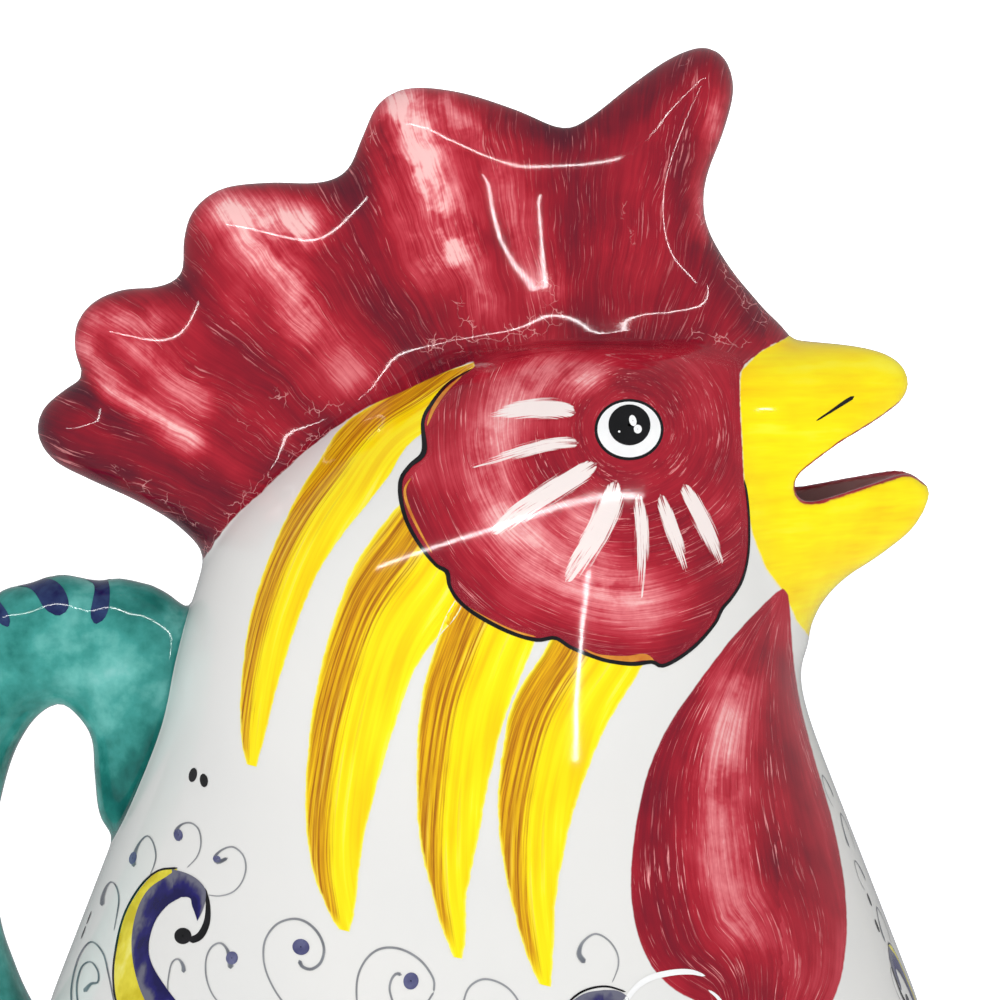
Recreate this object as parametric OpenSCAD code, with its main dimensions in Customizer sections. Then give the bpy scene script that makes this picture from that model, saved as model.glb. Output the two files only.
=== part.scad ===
// Glazed pitcher in the form of a rooster, in millimetres, +Z up.
// The origin is the centre of the foot ring on the table plane, and the beak points to +X.
// Every sub-part is one of the clay members that are formed on their own and luted together.

/* [Body] */
// widest outside diameter of the belly
belly_d = 173; // [160:1:190]
// height of the widest part of the belly above the table
belly_h = 53; // [46:1:60]
// radius that rounds the belly up into the shoulder
shoulder_r = 72; // [56:1:80]
// outside diameter of the throat, where the neck is narrowest
throat_d = 119; // [108:1:128]
// height of the throat above the table
throat_h = 141; // [134:1:156]
// radius of the hollow curve that leads up into the throat
throat_r = 30; // [16:1:40]
// thickness of the clay wall
wall = 5; // [4:0.5:6.5]

/* [Foot] */
// outside diameter of the foot ring
foot_d = 112; // [100:1:124]
// height of the foot ring, which is also the recess under the floor
foot_h = 6; // [4:0.5:9]
// width of the foot ring where it stands on the table
foot_w = 8; // [6:0.5:12]

/* [Head] */
// height of the head from the throat up to the crown
head_h = 66; // [60:1:72]
// distance from the axis of the jug to the tip of the beak
beak_reach = 84.5; // [80:0.5:90]
// half the width of the beak where it leaves the face
beak_half_w = 22; // [18:0.5:25]
// radius of the round seam where the beak is set into the face
beak_seam_r = 36; // [32:0.5:38]
// how sharply the face turns into the beak, as the power that joins their outlines
face_turn_share = 9; // [6:1:12]

/* [Comb] */
// length of the comb from its rearmost lobe to the beak
comb_l = 142; // [136:1:148]
// distance behind the axis of the jug to the rearmost lobe
comb_back = 84; // [80:1:88]
// height of the tallest lobe above the crown
comb_h = 49; // [44:1:54]
// thickness through the middle of a lobe
comb_t = 27; // [24:1:32]
// how many times thicker the comb grows towards its base
comb_spread_share = 1.35; // [1.1:0.05:1.5]

/* [Handle] */
// distance from the axis of the jug to the outer side of the handle
handle_reach = 115; // [112:1:124]
// height of the lower root of the handle
handle_low = 43; // [38:1:52]
// height of the top of the handle above its lower root
handle_h = 114; // [106:1:118]
// thickness of the handle, measured towards the jug
handle_t = 21; // [17:0.5:24]
// width of the handle across the jug
handle_w = 19; // [15:0.5:24]

/* [Hidden] */
over = wall / 5;
belly_r = belly_d / 2;
foot_r = foot_d / 2;
throat_half = throat_d / 2;
crown_h = throat_h + head_h;

// the bowl under the widest place is one round arc from the foot to the belly
bowl_drop = belly_h - foot_h;
bowl_r = ((belly_r - foot_r) ^ 2 + bowl_drop ^ 2) / (belly_r - foot_r) / 2;
bowl_x = belly_r - bowl_r;
floor_top = foot_h + wall;

// the straight flank of the neck touches the shoulder arc and the throat arc
shoulder_x = belly_r - shoulder_r;
hollow_x = throat_half + throat_r;
arc_run = hollow_x - shoulder_x;
arc_rise = throat_h - belly_h;
arc_gap = sqrt(arc_run ^ 2 + arc_rise ^ 2);
flank = atan2(arc_rise, arc_run) - acos((shoulder_r + throat_r) / arc_gap);

// the circle of the beak seam sits ahead of the mouth corner
seam_x = beak_reach;
mouth_share = 0.52;
mouth_h = throat_h + head_h * mouth_share;

// levels of the head, from the throat up to the crown, seven shares to a row:
// height, back and front of the skull, its half width, reach and half width of the beak
head_shares = [
  [0, -1, 1, 1, 0.3, 0.3],
  [0.07, -0.97, 1, 0.98, 0.3, 0.4],
  [0.13, -0.94, 1, 0.965, 0.735, 0.55],
  [0.19, -0.92, 1, 0.95, 0.79, 0.7],
  [0.25, -0.905, 1, 0.935, 0.855, 0.8],
  [0.31, -0.89, 1, 0.92, 0.92, 0.88],
  [0.37, -0.86, 1, 0.9, 0.965, 0.94],
  [0.43, -0.82, 1, 0.87, 0.99, 0.98],
  [0.49, -0.76, 0.995, 0.835, 1, 1],
  [0.55, -0.69, 0.985, 0.8, 0.97, 1],
  [0.61, -0.62, 0.975, 0.76, 0.945, 1],
  [0.67, -0.54, 0.96, 0.715, 0.94, 0.99],
  [0.73, -0.455, 0.945, 0.665, 0.94, 0.96],
  [0.79, -0.36, 0.92, 0.6, 0.95, 0.9],
  [0.83, -0.28, 0.895, 0.555, 0.945, 0.82],
  [0.87, -0.19, 0.865, 0.5, 0.915, 0.72],
  [0.9, -0.11, 0.835, 0.455, 0.83, 0.6],
  [0.925, -0.03, 0.8, 0.41, 0.68, 0.45],
  [0.95, 0.06, 0.75, 0.345, 0.3, 0.3],
  [0.97, 0.15, 0.69, 0.28, 0.3, 0.3],
  [0.985, 0.25, 0.61, 0.21, 0.3, 0.3],
  [0.995, 0.35, 0.55, 0.13, 0.3, 0.3],
  [1, 0.42, 0.5, 0.05, 0.3, 0.3],
];
head_sides = 48;
hollow_sides = 32;
// how closely the points of a ring crowd towards the beak
front_bias_share = 1.5;
// how much further a slanted wall is drawn in than a level one
slant_share = 1.4;

// the open beak, seen from the side: reach from the axis and height above the mouth corner
gape_shares = [
  [0.69, 0.02], [0.7, 0.06], [0.74, 0.085], [0.79, 0.12], [0.86, 0.175], [0.91, 0.215], [0.96, 0.27],
  [1.1, 0.4], [1.1, 0.03], [0.96, 0.02], [0.9, 0.015], [0.8, -0.02], [0.74, -0.045], [0.7, -0.035],
];

// everything under the line where the two halves of the beak meet behind the mouth corner
split_shares = [[0.3, 0], [0.69, 0], [1.15, 0.15], [1.15, -0.7], [0.3, -0.7]];

// ribs of the comb from the nape round to the beak, five shares to a row:
// place and height of the rim, reach and height of the root in the head, thickness
rib_shares = [
  [0.23, -0.99, -0.73, 0.24, 0.5], [0.185, -0.84, -0.72, 0.265, 0.62], [0.13, -0.74, -0.71, 0.295, 0.75],
  [0.065, -0.655, -0.69, 0.325, 0.88], [0.02, -0.58, -0.665, 0.355, 0.95], [0, -0.48, -0.645, 0.385, 1],
  [0.005, -0.38, -0.62, 0.41, 0.93], [0.035, -0.3, -0.59, 0.44, 0.78], [0.055, -0.25, -0.555, 0.47, 0.62],
  [0.045, -0.16, -0.525, 0.49, 0.75], [0.05, -0.05, -0.485, 0.52, 0.93], [0.07, 0.035, -0.445, 0.545, 1],
  [0.11, 0.08, -0.395, 0.575, 0.95], [0.16, 0.09, -0.34, 0.605, 0.78], [0.19, 0.14, -0.285, 0.635, 0.6],
  [0.195, 0.275, -0.25, 0.65, 0.74], [0.205, 0.385, -0.22, 0.665, 0.92], [0.245, 0.465, -0.17, 0.685, 1],
  [0.305, 0.49, -0.11, 0.71, 1], [0.37, 0.49, -0.045, 0.735, 0.82], [0.41, 0.535, -0.005, 0.75, 0.6],
  [0.43, 0.67, 0.025, 0.765, 0.75], [0.45, 0.795, 0.05, 0.77, 0.93], [0.495, 0.85, 0.09, 0.78, 1.04],
  [0.56, 0.835, 0.14, 0.795, 1.05], [0.635, 0.77, 0.195, 0.805, 0.88], [0.695, 0.7, 0.245, 0.81, 0.62],
  [0.73, 0.73, 0.26, 0.815, 0.66], [0.785, 0.865, 0.285, 0.82, 0.8], [0.84, 0.965, 0.31, 0.825, 0.93],
  [0.88, 1, 0.335, 0.83, 1], [0.91, 0.965, 0.36, 0.83, 1], [0.92, 0.845, 0.385, 0.83, 0.95],
  [0.91, 0.69, 0.42, 0.83, 0.86], [0.89, 0.525, 0.475, 0.83, 0.76], [0.885, 0.41, 0.535, 0.83, 0.7],
  [0.89, 0.3, 0.605, 0.825, 0.66], [0.92, 0.155, 0.685, 0.815, 0.62], [0.96, 0.02, 0.76, 0.8, 0.6],
  [1, -0.115, 0.825, 0.775, 0.55],
];
rib_sides = 14;
// how round the rim of a rib is, how flat its cheeks are, and how soon they swell towards the root
rim_round_share = 0.7;
cheek_share = 0.6;
swell_share = 1.5;

// stations of the handle from its upper to its lower root, four shares and a turn to a row:
// reach, height, thickness, width, and the way its outer side faces
handle_shares = [
  [0.46, 0.69, 2.05, 1.75, 69], [0.51, 0.72, 2.04, 1.55, 69], [0.565, 0.765, 2.1, 1.3, 69],
  [0.595, 0.825, 1.83, 1.12, 72], [0.625, 0.86, 1.48, 1.03, 79], [0.665, 0.88, 1.26, 1, 85],
  [0.705, 0.89, 1.18, 1, 92], [0.755, 0.875, 1.19, 1, 102], [0.805, 0.84, 1.21, 1, 115],
  [0.853, 0.78, 1.2, 1, 130], [0.887, 0.7, 1.14, 1, 147], [0.905, 0.6, 1.04, 1, 165],
  [0.908, 0.495, 0.99, 1, 183], [0.895, 0.38, 0.99, 1, 197], [0.865, 0.29, 1, 1.02, 212],
  [0.825, 0.21, 1, 1.08, 226], [0.77, 0.135, 1, 1.2, 240], [0.7, 0.07, 1.02, 1.4, 248],
  [0.63, 0.02, 1.05, 1.6, 252],
];
handle_sides = 24;
// how far the section of the handle goes from an oval towards a box
squareness_share = 2.5;

// a value a share t of the way from b to c on the smooth curve through a, b, c and d
function smooth_value(a, b, c, d, t) =
  b + t * (c - a + t * ((a - b) * 2 + (c - b) * 3 + c - d + t * ((b - c) * 3 + d - a))) / 2;

// the rows with further ones put smoothly between them
function finer(rows, steps) =
  let (last = len(rows) - 1)
  [
    for (i = [0:last])
      for (k = [0:(i < last ? steps - 1 : 0)])
        [
          for (c = [0:len(rows[0]) - 1])
            smooth_value(
              rows[max(i - 1, 0)][c],
              rows[i][c],
              rows[min(i + 1, last)][c],
              rows[min(i + 2, last)][c],
              k / steps
            )
        ]
  ];

// the larger of two radii, with a rounded change from the one to the other
function blended(a, b) = (a ^ face_turn_share + b ^ face_turn_share) ^ (1 / face_turn_share);

// radius of an oval of the given half length and half width, seen from its centre
function oval(length, width, turn) = 1 / sqrt((cos(turn) / length) ^ 2 + (sin(turn) / width) ^ 2);

// one ring of the head, drawn in by the given depth; the ring of a hollow at the throat lies just below it
function head_ring(row, depth, sides) =
  let (
    back = row[1] * throat_half,
    front = row[2] * throat_half,
    mid = (front + back) / 2,
    half = (front - back) / 2 - depth,
    side = row[3] * throat_half - depth,
    beak = row[4] * beak_reach - mid - depth * slant_share,
    beak_side = row[5] * beak_half_w - depth,
    below = row[0] == 0 && depth > 0 ? over : 0,
    z = throat_h + row[0] * (head_h - depth) - below
  )
  [
    for (j = [0:sides - 1])
      let (
        share = (j + 0.5) / sides * 2 - 1,
        turn = sign(share) * abs(share) ^ front_bias_share * 180,
        skull = oval(half, side, turn),
        nose = cos(turn) > 0 ? oval(max(beak, over), max(beak_side, over), turn) : over,
        r = blended(skull, nose)
      )
      [mid + cos(turn) * r, sin(turn) * r, z]
  ];

// one closed ring round a rib of the comb, drawn in by the given depth
function rib_ring(row, depth) =
  let (
    rim = [row[0] * comb_l - comb_back, crown_h + row[1] * comb_h],
    root = [row[2] * throat_half, throat_h + row[3] * head_h],
    run = norm(rim - root),
    way = (rim - root) / run,
    half = row[4] * comb_t / 2
  )
  [
    for (j = [0:rib_sides - 1])
      let (
        turn = j / (rib_sides - 1) * 180,
        rise = sin(turn) ^ rim_round_share,
        out = (run - depth * slant_share) * rise,
        swell = 1 + (comb_spread_share - 1) * (1 - rise) ^ swell_share,
        side = (half * swell - depth) * sign(cos(turn)) * abs(cos(turn)) ^ cheek_share
      )
      [root[0] + way[0] * out, side, root[1] + way[1] * out]
  ];

// one closed ring round a station of the handle
function handle_ring(row) =
  let (
    x = -row[0] * handle_reach,
    z = handle_low + row[1] * handle_h,
    thick = row[2] * handle_t / 2,
    wide = row[3] * handle_w / 2
  )
  [
    for (j = [0:handle_sides - 1])
      let (
        turn = j / handle_sides * 360,
        out = sign(cos(turn)) * abs(cos(turn)) ^ (2 / squareness_share) * thick,
        side = sign(sin(turn)) * abs(sin(turn)) ^ (2 / squareness_share) * wide
      )
      [x + cos(row[4]) * out, side, z + sin(row[4]) * out]
  ];

// a closed skin over a row of rings that all have the same number of points
module skin(rings) {
  n = len(rings[0]);
  last = len(rings) - 1;
  points = [for (ring = rings) each ring];
  first_cap = [for (j = [0:n - 1]) j];
  last_cap = [for (j = [0:n - 1]) last * n + n - 1 - j];
  side_a = [
    for (i = [0:last - 1])
      for (j = [0:n - 1])
        [i * n + j, (i + 1) * n + j, i * n + (j + 1) % n]
  ];
  side_b = [
    for (i = [0:last - 1])
      for (j = [0:n - 1])
        [i * n + (j + 1) % n, (i + 1) * n + j, (i + 1) * n + (j + 1) % n]
  ];
  polyhedron(points = points, faces = concat([first_cap], side_a, side_b, [last_cap]), convexity = 10);
}

// cross-section of the bowl, drawn in by the given depth and cut off between two heights
module bowl_section(depth, from, to) {
  intersection() {
    union() {
      translate([bowl_x, belly_h]) circle(r = bowl_r - depth);
      translate([0, from]) square([bowl_x, to - from]);
    }
    translate([0, from]) square([belly_d, to - from]);
  }
}

// cross-section of the shoulder and neck from the belly up to the throat, drawn in by the given depth
module neck_section(depth) {
  touch_x = shoulder_x + cos(flank) * (shoulder_r - depth);
  touch_z = belly_h + sin(flank) * (shoulder_r - depth);
  leave_x = hollow_x - cos(flank) * (throat_r + depth);
  leave_z = throat_h - sin(flank) * (throat_r + depth);
  intersection() {
    translate([shoulder_x, belly_h]) circle(r = shoulder_r - depth);
    translate([0, belly_h]) square([belly_d, arc_rise]);
  }
  polygon([[0, belly_h], [shoulder_x, belly_h], [touch_x, touch_z], [leave_x, leave_z], [0, leave_z]]);
  difference() {
    translate([0, leave_z]) square([leave_x, throat_h - leave_z]);
    translate([hollow_x, throat_h]) circle(r = throat_r + depth);
  }
}

// belly and neck as solid clay, which the handle is fitted against; a core runs on through the throat
module body_solid() {
  rotate_extrude($fn = 180) {
    bowl_section(0, foot_h, belly_h);
    neck_section(0);
    translate([0, belly_h]) square([throat_half - wall, arc_rise + wall]);
  }
}

// the outside of skull and beak before the mouth is opened
module head_solid() {
  skin([for (row = head_shares) head_ring(row, 0, head_sides)]);
}

// the hollow of skull and beak, open at the throat
module head_hollow() {
  skin([for (row = head_shares) head_ring(row, wall, hollow_sides)]);
}

// the hollow of the comb, which stops short of its two ends and runs down into the hollow of the head
module comb_hollow() {
  skin([for (i = [2:len(rib_shares) - 3]) rib_ring(rib_shares[i], wall)]);
}

// the round plug of clay that the beak is cut to, before it is set into the face
module beak_plug() {
  translate([seam_x, 0, mouth_h])
    rotate([90, 0, 0])
      cylinder(r = beak_seam_r, h = belly_d, center = true, $fn = 72);
}

// a shape drawn from the side in shares of reach and head height, as wide as the head
module across(outline_shares) {
  side = [for (p = outline_shares) [p[0] * beak_reach, mouth_h + p[1] * head_h]];
  rotate([90, 0, 0]) linear_extrude(height = throat_d, center = true) polygon(side);
}

// skull and beak as one hollow shell with the mouth open
module head_shell() {
  difference() {
    head_solid();
    head_hollow();
    across(gape_shares);
    comb_hollow();
  }
}

module foot_ring() {
  color("ivory")
    rotate_extrude($fn = 180)
      translate([foot_r - foot_w, 0]) square([foot_w, foot_h]);
}

module belly() {
  color("gold")
    rotate_extrude($fn = 180)
      difference() {
        bowl_section(0, foot_h, belly_h);
        bowl_section(wall, floor_top, belly_h + over);
      }
}

module neck() {
  color("white")
    rotate_extrude($fn = 180)
      difference() {
        neck_section(0);
        neck_section(wall);
      }
}

module head() {
  color("crimson")
    difference() {
      head_shell();
      beak_plug();
    }
}

module comb() {
  color("firebrick")
    difference() {
      skin([for (row = rib_shares) rib_ring(row, 0)]);
      head_solid();
      comb_hollow();
    }
}

module upper_beak() {
  color("goldenrod")
    difference() {
      intersection() {
        head_shell();
        beak_plug();
      }
      across(split_shares);
    }
}

module lower_beak() {
  color("orange")
    intersection() {
      head_shell();
      beak_plug();
      across(split_shares);
    }
}

module handle() {
  color("teal")
    difference() {
      skin([for (row = finer(handle_shares, 2)) handle_ring(row)]);
      body_solid();
      head_solid();
    }
}

foot_ring();
belly();
neck();
head();
comb();
upper_beak();
lower_beak();
handle();
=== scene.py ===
import math
import bpy
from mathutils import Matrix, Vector
import numpy as np


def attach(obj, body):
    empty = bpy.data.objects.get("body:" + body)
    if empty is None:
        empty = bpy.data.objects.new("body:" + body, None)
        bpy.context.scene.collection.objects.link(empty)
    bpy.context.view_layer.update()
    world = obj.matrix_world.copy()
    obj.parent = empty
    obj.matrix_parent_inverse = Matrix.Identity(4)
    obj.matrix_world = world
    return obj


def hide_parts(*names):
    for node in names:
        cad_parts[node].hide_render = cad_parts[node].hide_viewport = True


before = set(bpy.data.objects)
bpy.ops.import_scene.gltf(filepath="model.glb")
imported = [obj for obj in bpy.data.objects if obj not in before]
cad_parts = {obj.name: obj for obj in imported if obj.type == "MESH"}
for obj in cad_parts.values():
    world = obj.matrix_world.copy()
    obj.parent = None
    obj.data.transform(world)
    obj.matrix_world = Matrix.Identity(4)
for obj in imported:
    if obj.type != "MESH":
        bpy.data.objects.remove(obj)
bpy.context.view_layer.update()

# ---------------------------------------------------------------- the photograph's plane
MIDDLE = 500                         # the photograph's middle column and row
MM_PER_PIXEL = 0.19                  # at the jug's middle plane
AXIS_COLUMN, TABLE_ROW = 484, 1400   # where the jug's axis and the table lie in the photograph
TARGET = np.array([3.04, 0.0, 171.0])
DISTANCE = 600.0
TILT = math.radians(4.5)
FOCAL = 3157.9                       # in the photograph's pixels
AHEAD = np.array([0.0, math.cos(TILT), -math.sin(TILT)])
UPWARD = np.array([0.0, math.sin(TILT), math.cos(TILT)])
CAMERA = TARGET - DISTANCE * AHEAD


def plane_of(points):
    """Place on the photograph's plane, in its pixels, of points taken on the side that the photograph shows."""
    seen = points * [1, 0, 1] + np.abs(points[:, 1:2]) * [0, -1, 0]
    way = seen - CAMERA
    depth = way @ AHEAD
    return np.stack([MIDDLE + FOCAL * way[:, 0] / depth, MIDDLE - FOCAL * (way @ UPWARD) / depth], 1)


def flat(pixels):
    """Side view in millimetres (x, z) of outline pixels, taken at the jug's middle plane."""
    p = np.asarray(pixels, float)
    return np.stack([(p[:, 0] - AXIS_COLUMN) * MM_PER_PIXEL, (TABLE_ROW - p[:, 1]) * MM_PER_PIXEL], 1)


# ---------------------------------------------------------------- small tools on whole arrays
def softened(table, sigma, axes):
    """The table with each given axis blurred by a bell curve of the given width in cells, edges held."""
    reach = int(3 * sigma) + 1
    bell = np.exp(-0.5 * (np.arange(-reach, reach + 1) / sigma) ** 2)
    bell /= bell.sum()
    for axis in axes:
        wide = np.pad(table, [(reach, reach) if a == axis else (0, 0) for a in range(table.ndim)], mode="edge")
        n = table.shape[axis]
        table = sum(w * np.take(wide, np.arange(k, k + n), axis=axis) for k, w in enumerate(bell))
    return table


def run_along(line):
    """Length run along a broken line up to each of its points, from their first two numbers."""
    return np.concatenate([[0], np.cumsum(np.hypot(*np.diff(line[:, :2], axis=0).T))])


def curve_through(points, step, closed=False):
    """Points at even steps along the smooth curve through the given points: cubic pieces whose slope
    at a point is half the way from the point before to the point after."""
    p = np.asarray(points, float)
    p = np.vstack([p[-1:], p, p[:2]]) if closed else np.vstack([2 * p[0] - p[1], p, 2 * p[-1] - p[-2]])
    t = np.linspace(0, 1, 24, endpoint=False)[None, :, None]
    a, b, c, d = (p[i:len(p) - 3 + i][:, None, :] for i in range(4))
    fine = (b + t * (c - a + t * ((a - b) * 2 + (c - b) * 3 + c - d + t * ((b - c) * 3 + d - a))) / 2)
    fine = fine.reshape(-1, p.shape[1])
    fine = np.vstack([fine, fine[:1] if closed else p[-2:-1]])
    run = run_along(fine)
    n = max(int(run[-1] / step), 2)
    where = np.linspace(0, run[-1], n + 1)
    return np.stack([np.interp(where, run, fine[:, k]) for k in range(p.shape[1])], 1)


def near_line(points, line):
    """Distance from each point to the broken line, the run along it there, and the side (-1 or 1)."""
    best = np.full(len(points), 1e9)
    run = np.zeros(len(points))
    side = np.ones(len(points))
    start = 0.0
    for a, b in zip(line[:-1], line[1:]):
        way = b - a
        size = max(math.hypot(*way), 1e-9)
        rel = points - a
        t = np.clip(rel @ way / size ** 2, 0, 1)
        off = rel - t[:, None] * way
        far = np.hypot(off[:, 0], off[:, 1])
        hit = far < best
        best = np.where(hit, far, best)
        run = np.where(hit, start + t * size, run)
        side = np.where(hit, np.sign(way[0] * rel[:, 1] - way[1] * rel[:, 0]), side)
        start += size
    return best, run, side


def depth_in(points, outline):
    """Signed distance to a closed outline, negative inside: the nearest edge gives the distance, and the
    count of edges that a level line crosses gives the side."""
    far, _, _ = near_line(points, np.vstack([outline, outline[:1]]))
    a, b = outline, np.roll(outline, -1, axis=0)
    inside = np.zeros(len(points), bool)
    for p, q in zip(a, b):
        if p[1] != q[1]:
            spans = (points[:, 1] < p[1]) != (points[:, 1] < q[1])
            inside ^= spans & (points[:, 0] < p[0] + (points[:, 1] - p[1]) * (q[0] - p[0]) / (q[1] - p[1]))
    return np.where(inside, -far, far)


def smooth_min(a, b, k):
    """The lesser of two distances, with a round clay fillet where they come within k of each other."""
    h = np.clip(1 - np.abs(a - b) / k, 0, 1)
    return np.minimum(a, b) - h ** 3 * k / 6


def smooth_max(a, b, k):
    """The greater of two distances, with the same fillet: smooth_min with both signs turned."""
    return -smooth_min(-a, -b, k)


def ease(t):
    """0 below 0, 1 above 1, and the soft step t * t * (3 - 2 * t) between them."""
    t = np.clip(t, 0, 1)
    return t * t * (3 - 2 * t)


class SideTable:
    """A value on a fine grid over the side view (x, z), read back between the grid's points."""

    def __init__(self, low, high, step=0.4):
        self.low, self.step = np.array(low, float), step
        self.shape = tuple(int((high[k] - low[k]) / step) + 2 for k in range(2))
        x, z = (self.low[k] + step * np.arange(self.shape[k]) for k in range(2))
        self.points = np.stack(np.meshgrid(x, z, indexing="ij"), -1).reshape(-1, 2)
        self.layers = []

    def add(self, values, blur=0.0):
        """One more layer, blurred by the given width in millimetres."""
        table = values.reshape(self.shape)
        self.layers.append(softened(table, blur / self.step, (0, 1)) if blur else table)

    def read(self, x, z):
        """Each layer at (x, z), from the four grid points around it in proportion to nearness."""
        u = np.clip((x - self.low[0]) / self.step, 0, self.shape[0] - 1.001)
        v = np.clip((z - self.low[1]) / self.step, 0, self.shape[1] - 1.001)
        i, j = u.astype(int), v.astype(int)
        s, t = u - i, v - j
        return [(g[i, j] * (1 - t) + g[i, j + 1] * t) * (1 - s) + (g[i + 1, j] * (1 - t) + g[i + 1, j + 1] * t) * s
                for g in self.layers]


# ---------------------------------------------------------------- body and skull
BELLY_R, BELLY_H, SHOULDER_R = 86.5, 53.0, 72.0
FOOT_R, FOOT_H = 56.0, 6.0
THROAT_R, THROAT_H, THROAT_ARC = 59.5, 141.0, 30.0
NECK_H, NECK_BLEND = 92, 24   # from here up, and over this height, the neck takes the softened rows below
CROWN_H = 201
WALL, BEAK_WALL, COMB_WALL = 5.0, 4.2, 5.2
BOWL_R = ((BELLY_R - FOOT_R) ** 2 + (BELLY_H - FOOT_H) ** 2) / (BELLY_R - FOOT_R) / 2


def body_radius(z):
    """Outer radius of the turned body at height z: an arc for the bowl, an arc for the shoulder, a straight
    flank that touches it, and a hollow arc into the throat."""
    cx, tx = BELLY_R - SHOULDER_R, THROAT_R + THROAT_ARC
    run, rise = tx - cx, THROAT_H - BELLY_H
    lean = math.atan2(rise, run) - math.acos((SHOULDER_R + THROAT_ARC) / math.hypot(run, rise))
    z1, z2 = BELLY_H + SHOULDER_R * math.sin(lean), THROAT_H - THROAT_ARC * math.sin(lean)
    r1, r2 = cx + SHOULDER_R * math.cos(lean), tx - THROAT_ARC * math.cos(lean)
    bowl = BELLY_R - BOWL_R + np.sqrt(np.maximum(BOWL_R ** 2 - (z - BELLY_H) ** 2, 0))
    shoulder = cx + np.sqrt(np.maximum(SHOULDER_R ** 2 - (z - BELLY_H) ** 2, 0))
    throat = tx - np.sqrt(np.maximum(THROAT_ARC ** 2 - (z - THROAT_H) ** 2, 0))
    flank = r1 + (r2 - r1) * (z - z1) / (z2 - z1)
    lower = np.where(z < BELLY_H, bowl, np.where(z < z1, shoulder, flank))
    return np.where(z < z2, lower, np.where(z < THROAT_H, throat, THROAT_R))


# height above the throat, back, front and half width of the skull, in millimetres
SKULL = np.array([
    [0, -59.5, 59.5, 59.5], [4.6, -57.7, 59.3, 58.3], [8.6, -55.9, 59.2, 57.4], [12.5, -54.7, 59.2, 56.5],
    [16.5, -53.8, 59.3, 55.6], [20.5, -53, 59.4, 54.7], [24.4, -51.2, 59.5, 53.6], [28.4, -48.8, 59.5, 51.8],
    [32.3, -45.2, 59.2, 49.7], [36.3, -41.1, 58.6, 47.6], [40.3, -36.9, 58, 45.2], [44.2, -32.1, 57.1, 42.5],
    [48.2, -27.1, 56.2, 39.6], [52.1, -21.4, 54.7, 35.7], [54.8, -17, 53.3, 33], [57.4, -13, 51.5, 29.8],
    [59.4, -9, 49.7, 27.1], [61, -6, 47.6, 24.4], [63, -4, 44.6, 20.5], [66, -2, 38, 14],
])
LEVELS = np.arange(-10, 232, 0.5)
body_rows = body_radius(LEVELS)
skull_rows = [np.where(LEVELS < THROAT_H, sign * body_rows, np.interp(LEVELS - THROAT_H, SKULL[:, 0], SKULL[:, k]))
              for k, sign in ((1, -1), (2, 1), (3, 1))]
blend_in = ease((LEVELS - NECK_H) / NECK_BLEND)
skull_rows = [row * (1 - blend_in) + softened(row, 11, (0,)) * blend_in for row in skull_rows]


def skull_radius(x, y, z):
    """Radius of the level section at (x, y): half an oval behind the section's middle and half before it."""
    back, front, side = (np.interp(z, LEVELS, row) for row in skull_rows)
    mid, half = (front + back) / 2, (front - back) / 2
    dx = x - mid
    rho = np.hypot(dx, y) + 1e-9
    return rho, 1 / np.sqrt((dx / rho / half) ** 2 + (y / rho / side) ** 2)


def body_field(x, y, z):
    """Distance to the turned body and the skull: the level distance times the cosine of the wall's slant,
    closed over the crown by a flat top that is rounded into it."""
    rho, r = skull_radius(x, y, z)
    _, above = skull_radius(x, y, z + 0.5)
    slant = (above - r) / 0.5
    level = (rho - r) / np.sqrt(1 + slant ** 2)
    return smooth_max(level, z - CROWN_H, 8)


# ---------------------------------------------------------------- comb, beak and handle
COMB_RIM = [(212, 566), (180, 527), (140, 502), (90, 479), (55, 460), (39, 434), (45, 408), (68, 388), (84, 376),
            (77, 352), (79, 324), (96, 302), (125, 290), (160, 287), (183, 274), (186, 240), (196, 211), (224, 190),
            (270, 184), (320, 184), (348, 172), (364, 138), (380, 106), (410, 91), (460, 95), (515, 112), (560, 130),
            (586, 122), (630, 88), (668, 62), (700, 51), (722, 62), (731, 92), (722, 132), (706, 175), (702, 205),
            (708, 233), (730, 270), (760, 306), (786, 338), (770, 380), (700, 420), (560, 440), (450, 470),
            (360, 520), (290, 600), (240, 640)]
# grooves between the lobes: line, width at the notch in millimetres, steepness of the flanks
GROOVES = [([(568, 128), (572, 230), (590, 335)], 12.5, 0.50), ([(348, 175), (388, 280), (445, 365)], 11, 0.42),
           ([(186, 280), (240, 355), (335, 425)], 9.5, 0.42), ([(80, 378), (140, 430), (245, 505)], 8.5, 0.42)]
SPINES = [[(702, 60), (660, 200), (640, 320)], [(425, 100), (445, 200), (490, 320)],
          [(245, 195), (290, 280), (370, 390)], [(115, 300), (170, 370), (270, 460)],
          [(48, 428), (130, 470), (225, 530)]]
CREASE = [(205, 555), (222, 530), (245, 505), (275, 475), (305, 447), (340, 418), (370, 399), (400, 380), (430, 363),
          (480, 350), (545, 342), (600, 337), (700, 337), (740, 343), (790, 350)]


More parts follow.
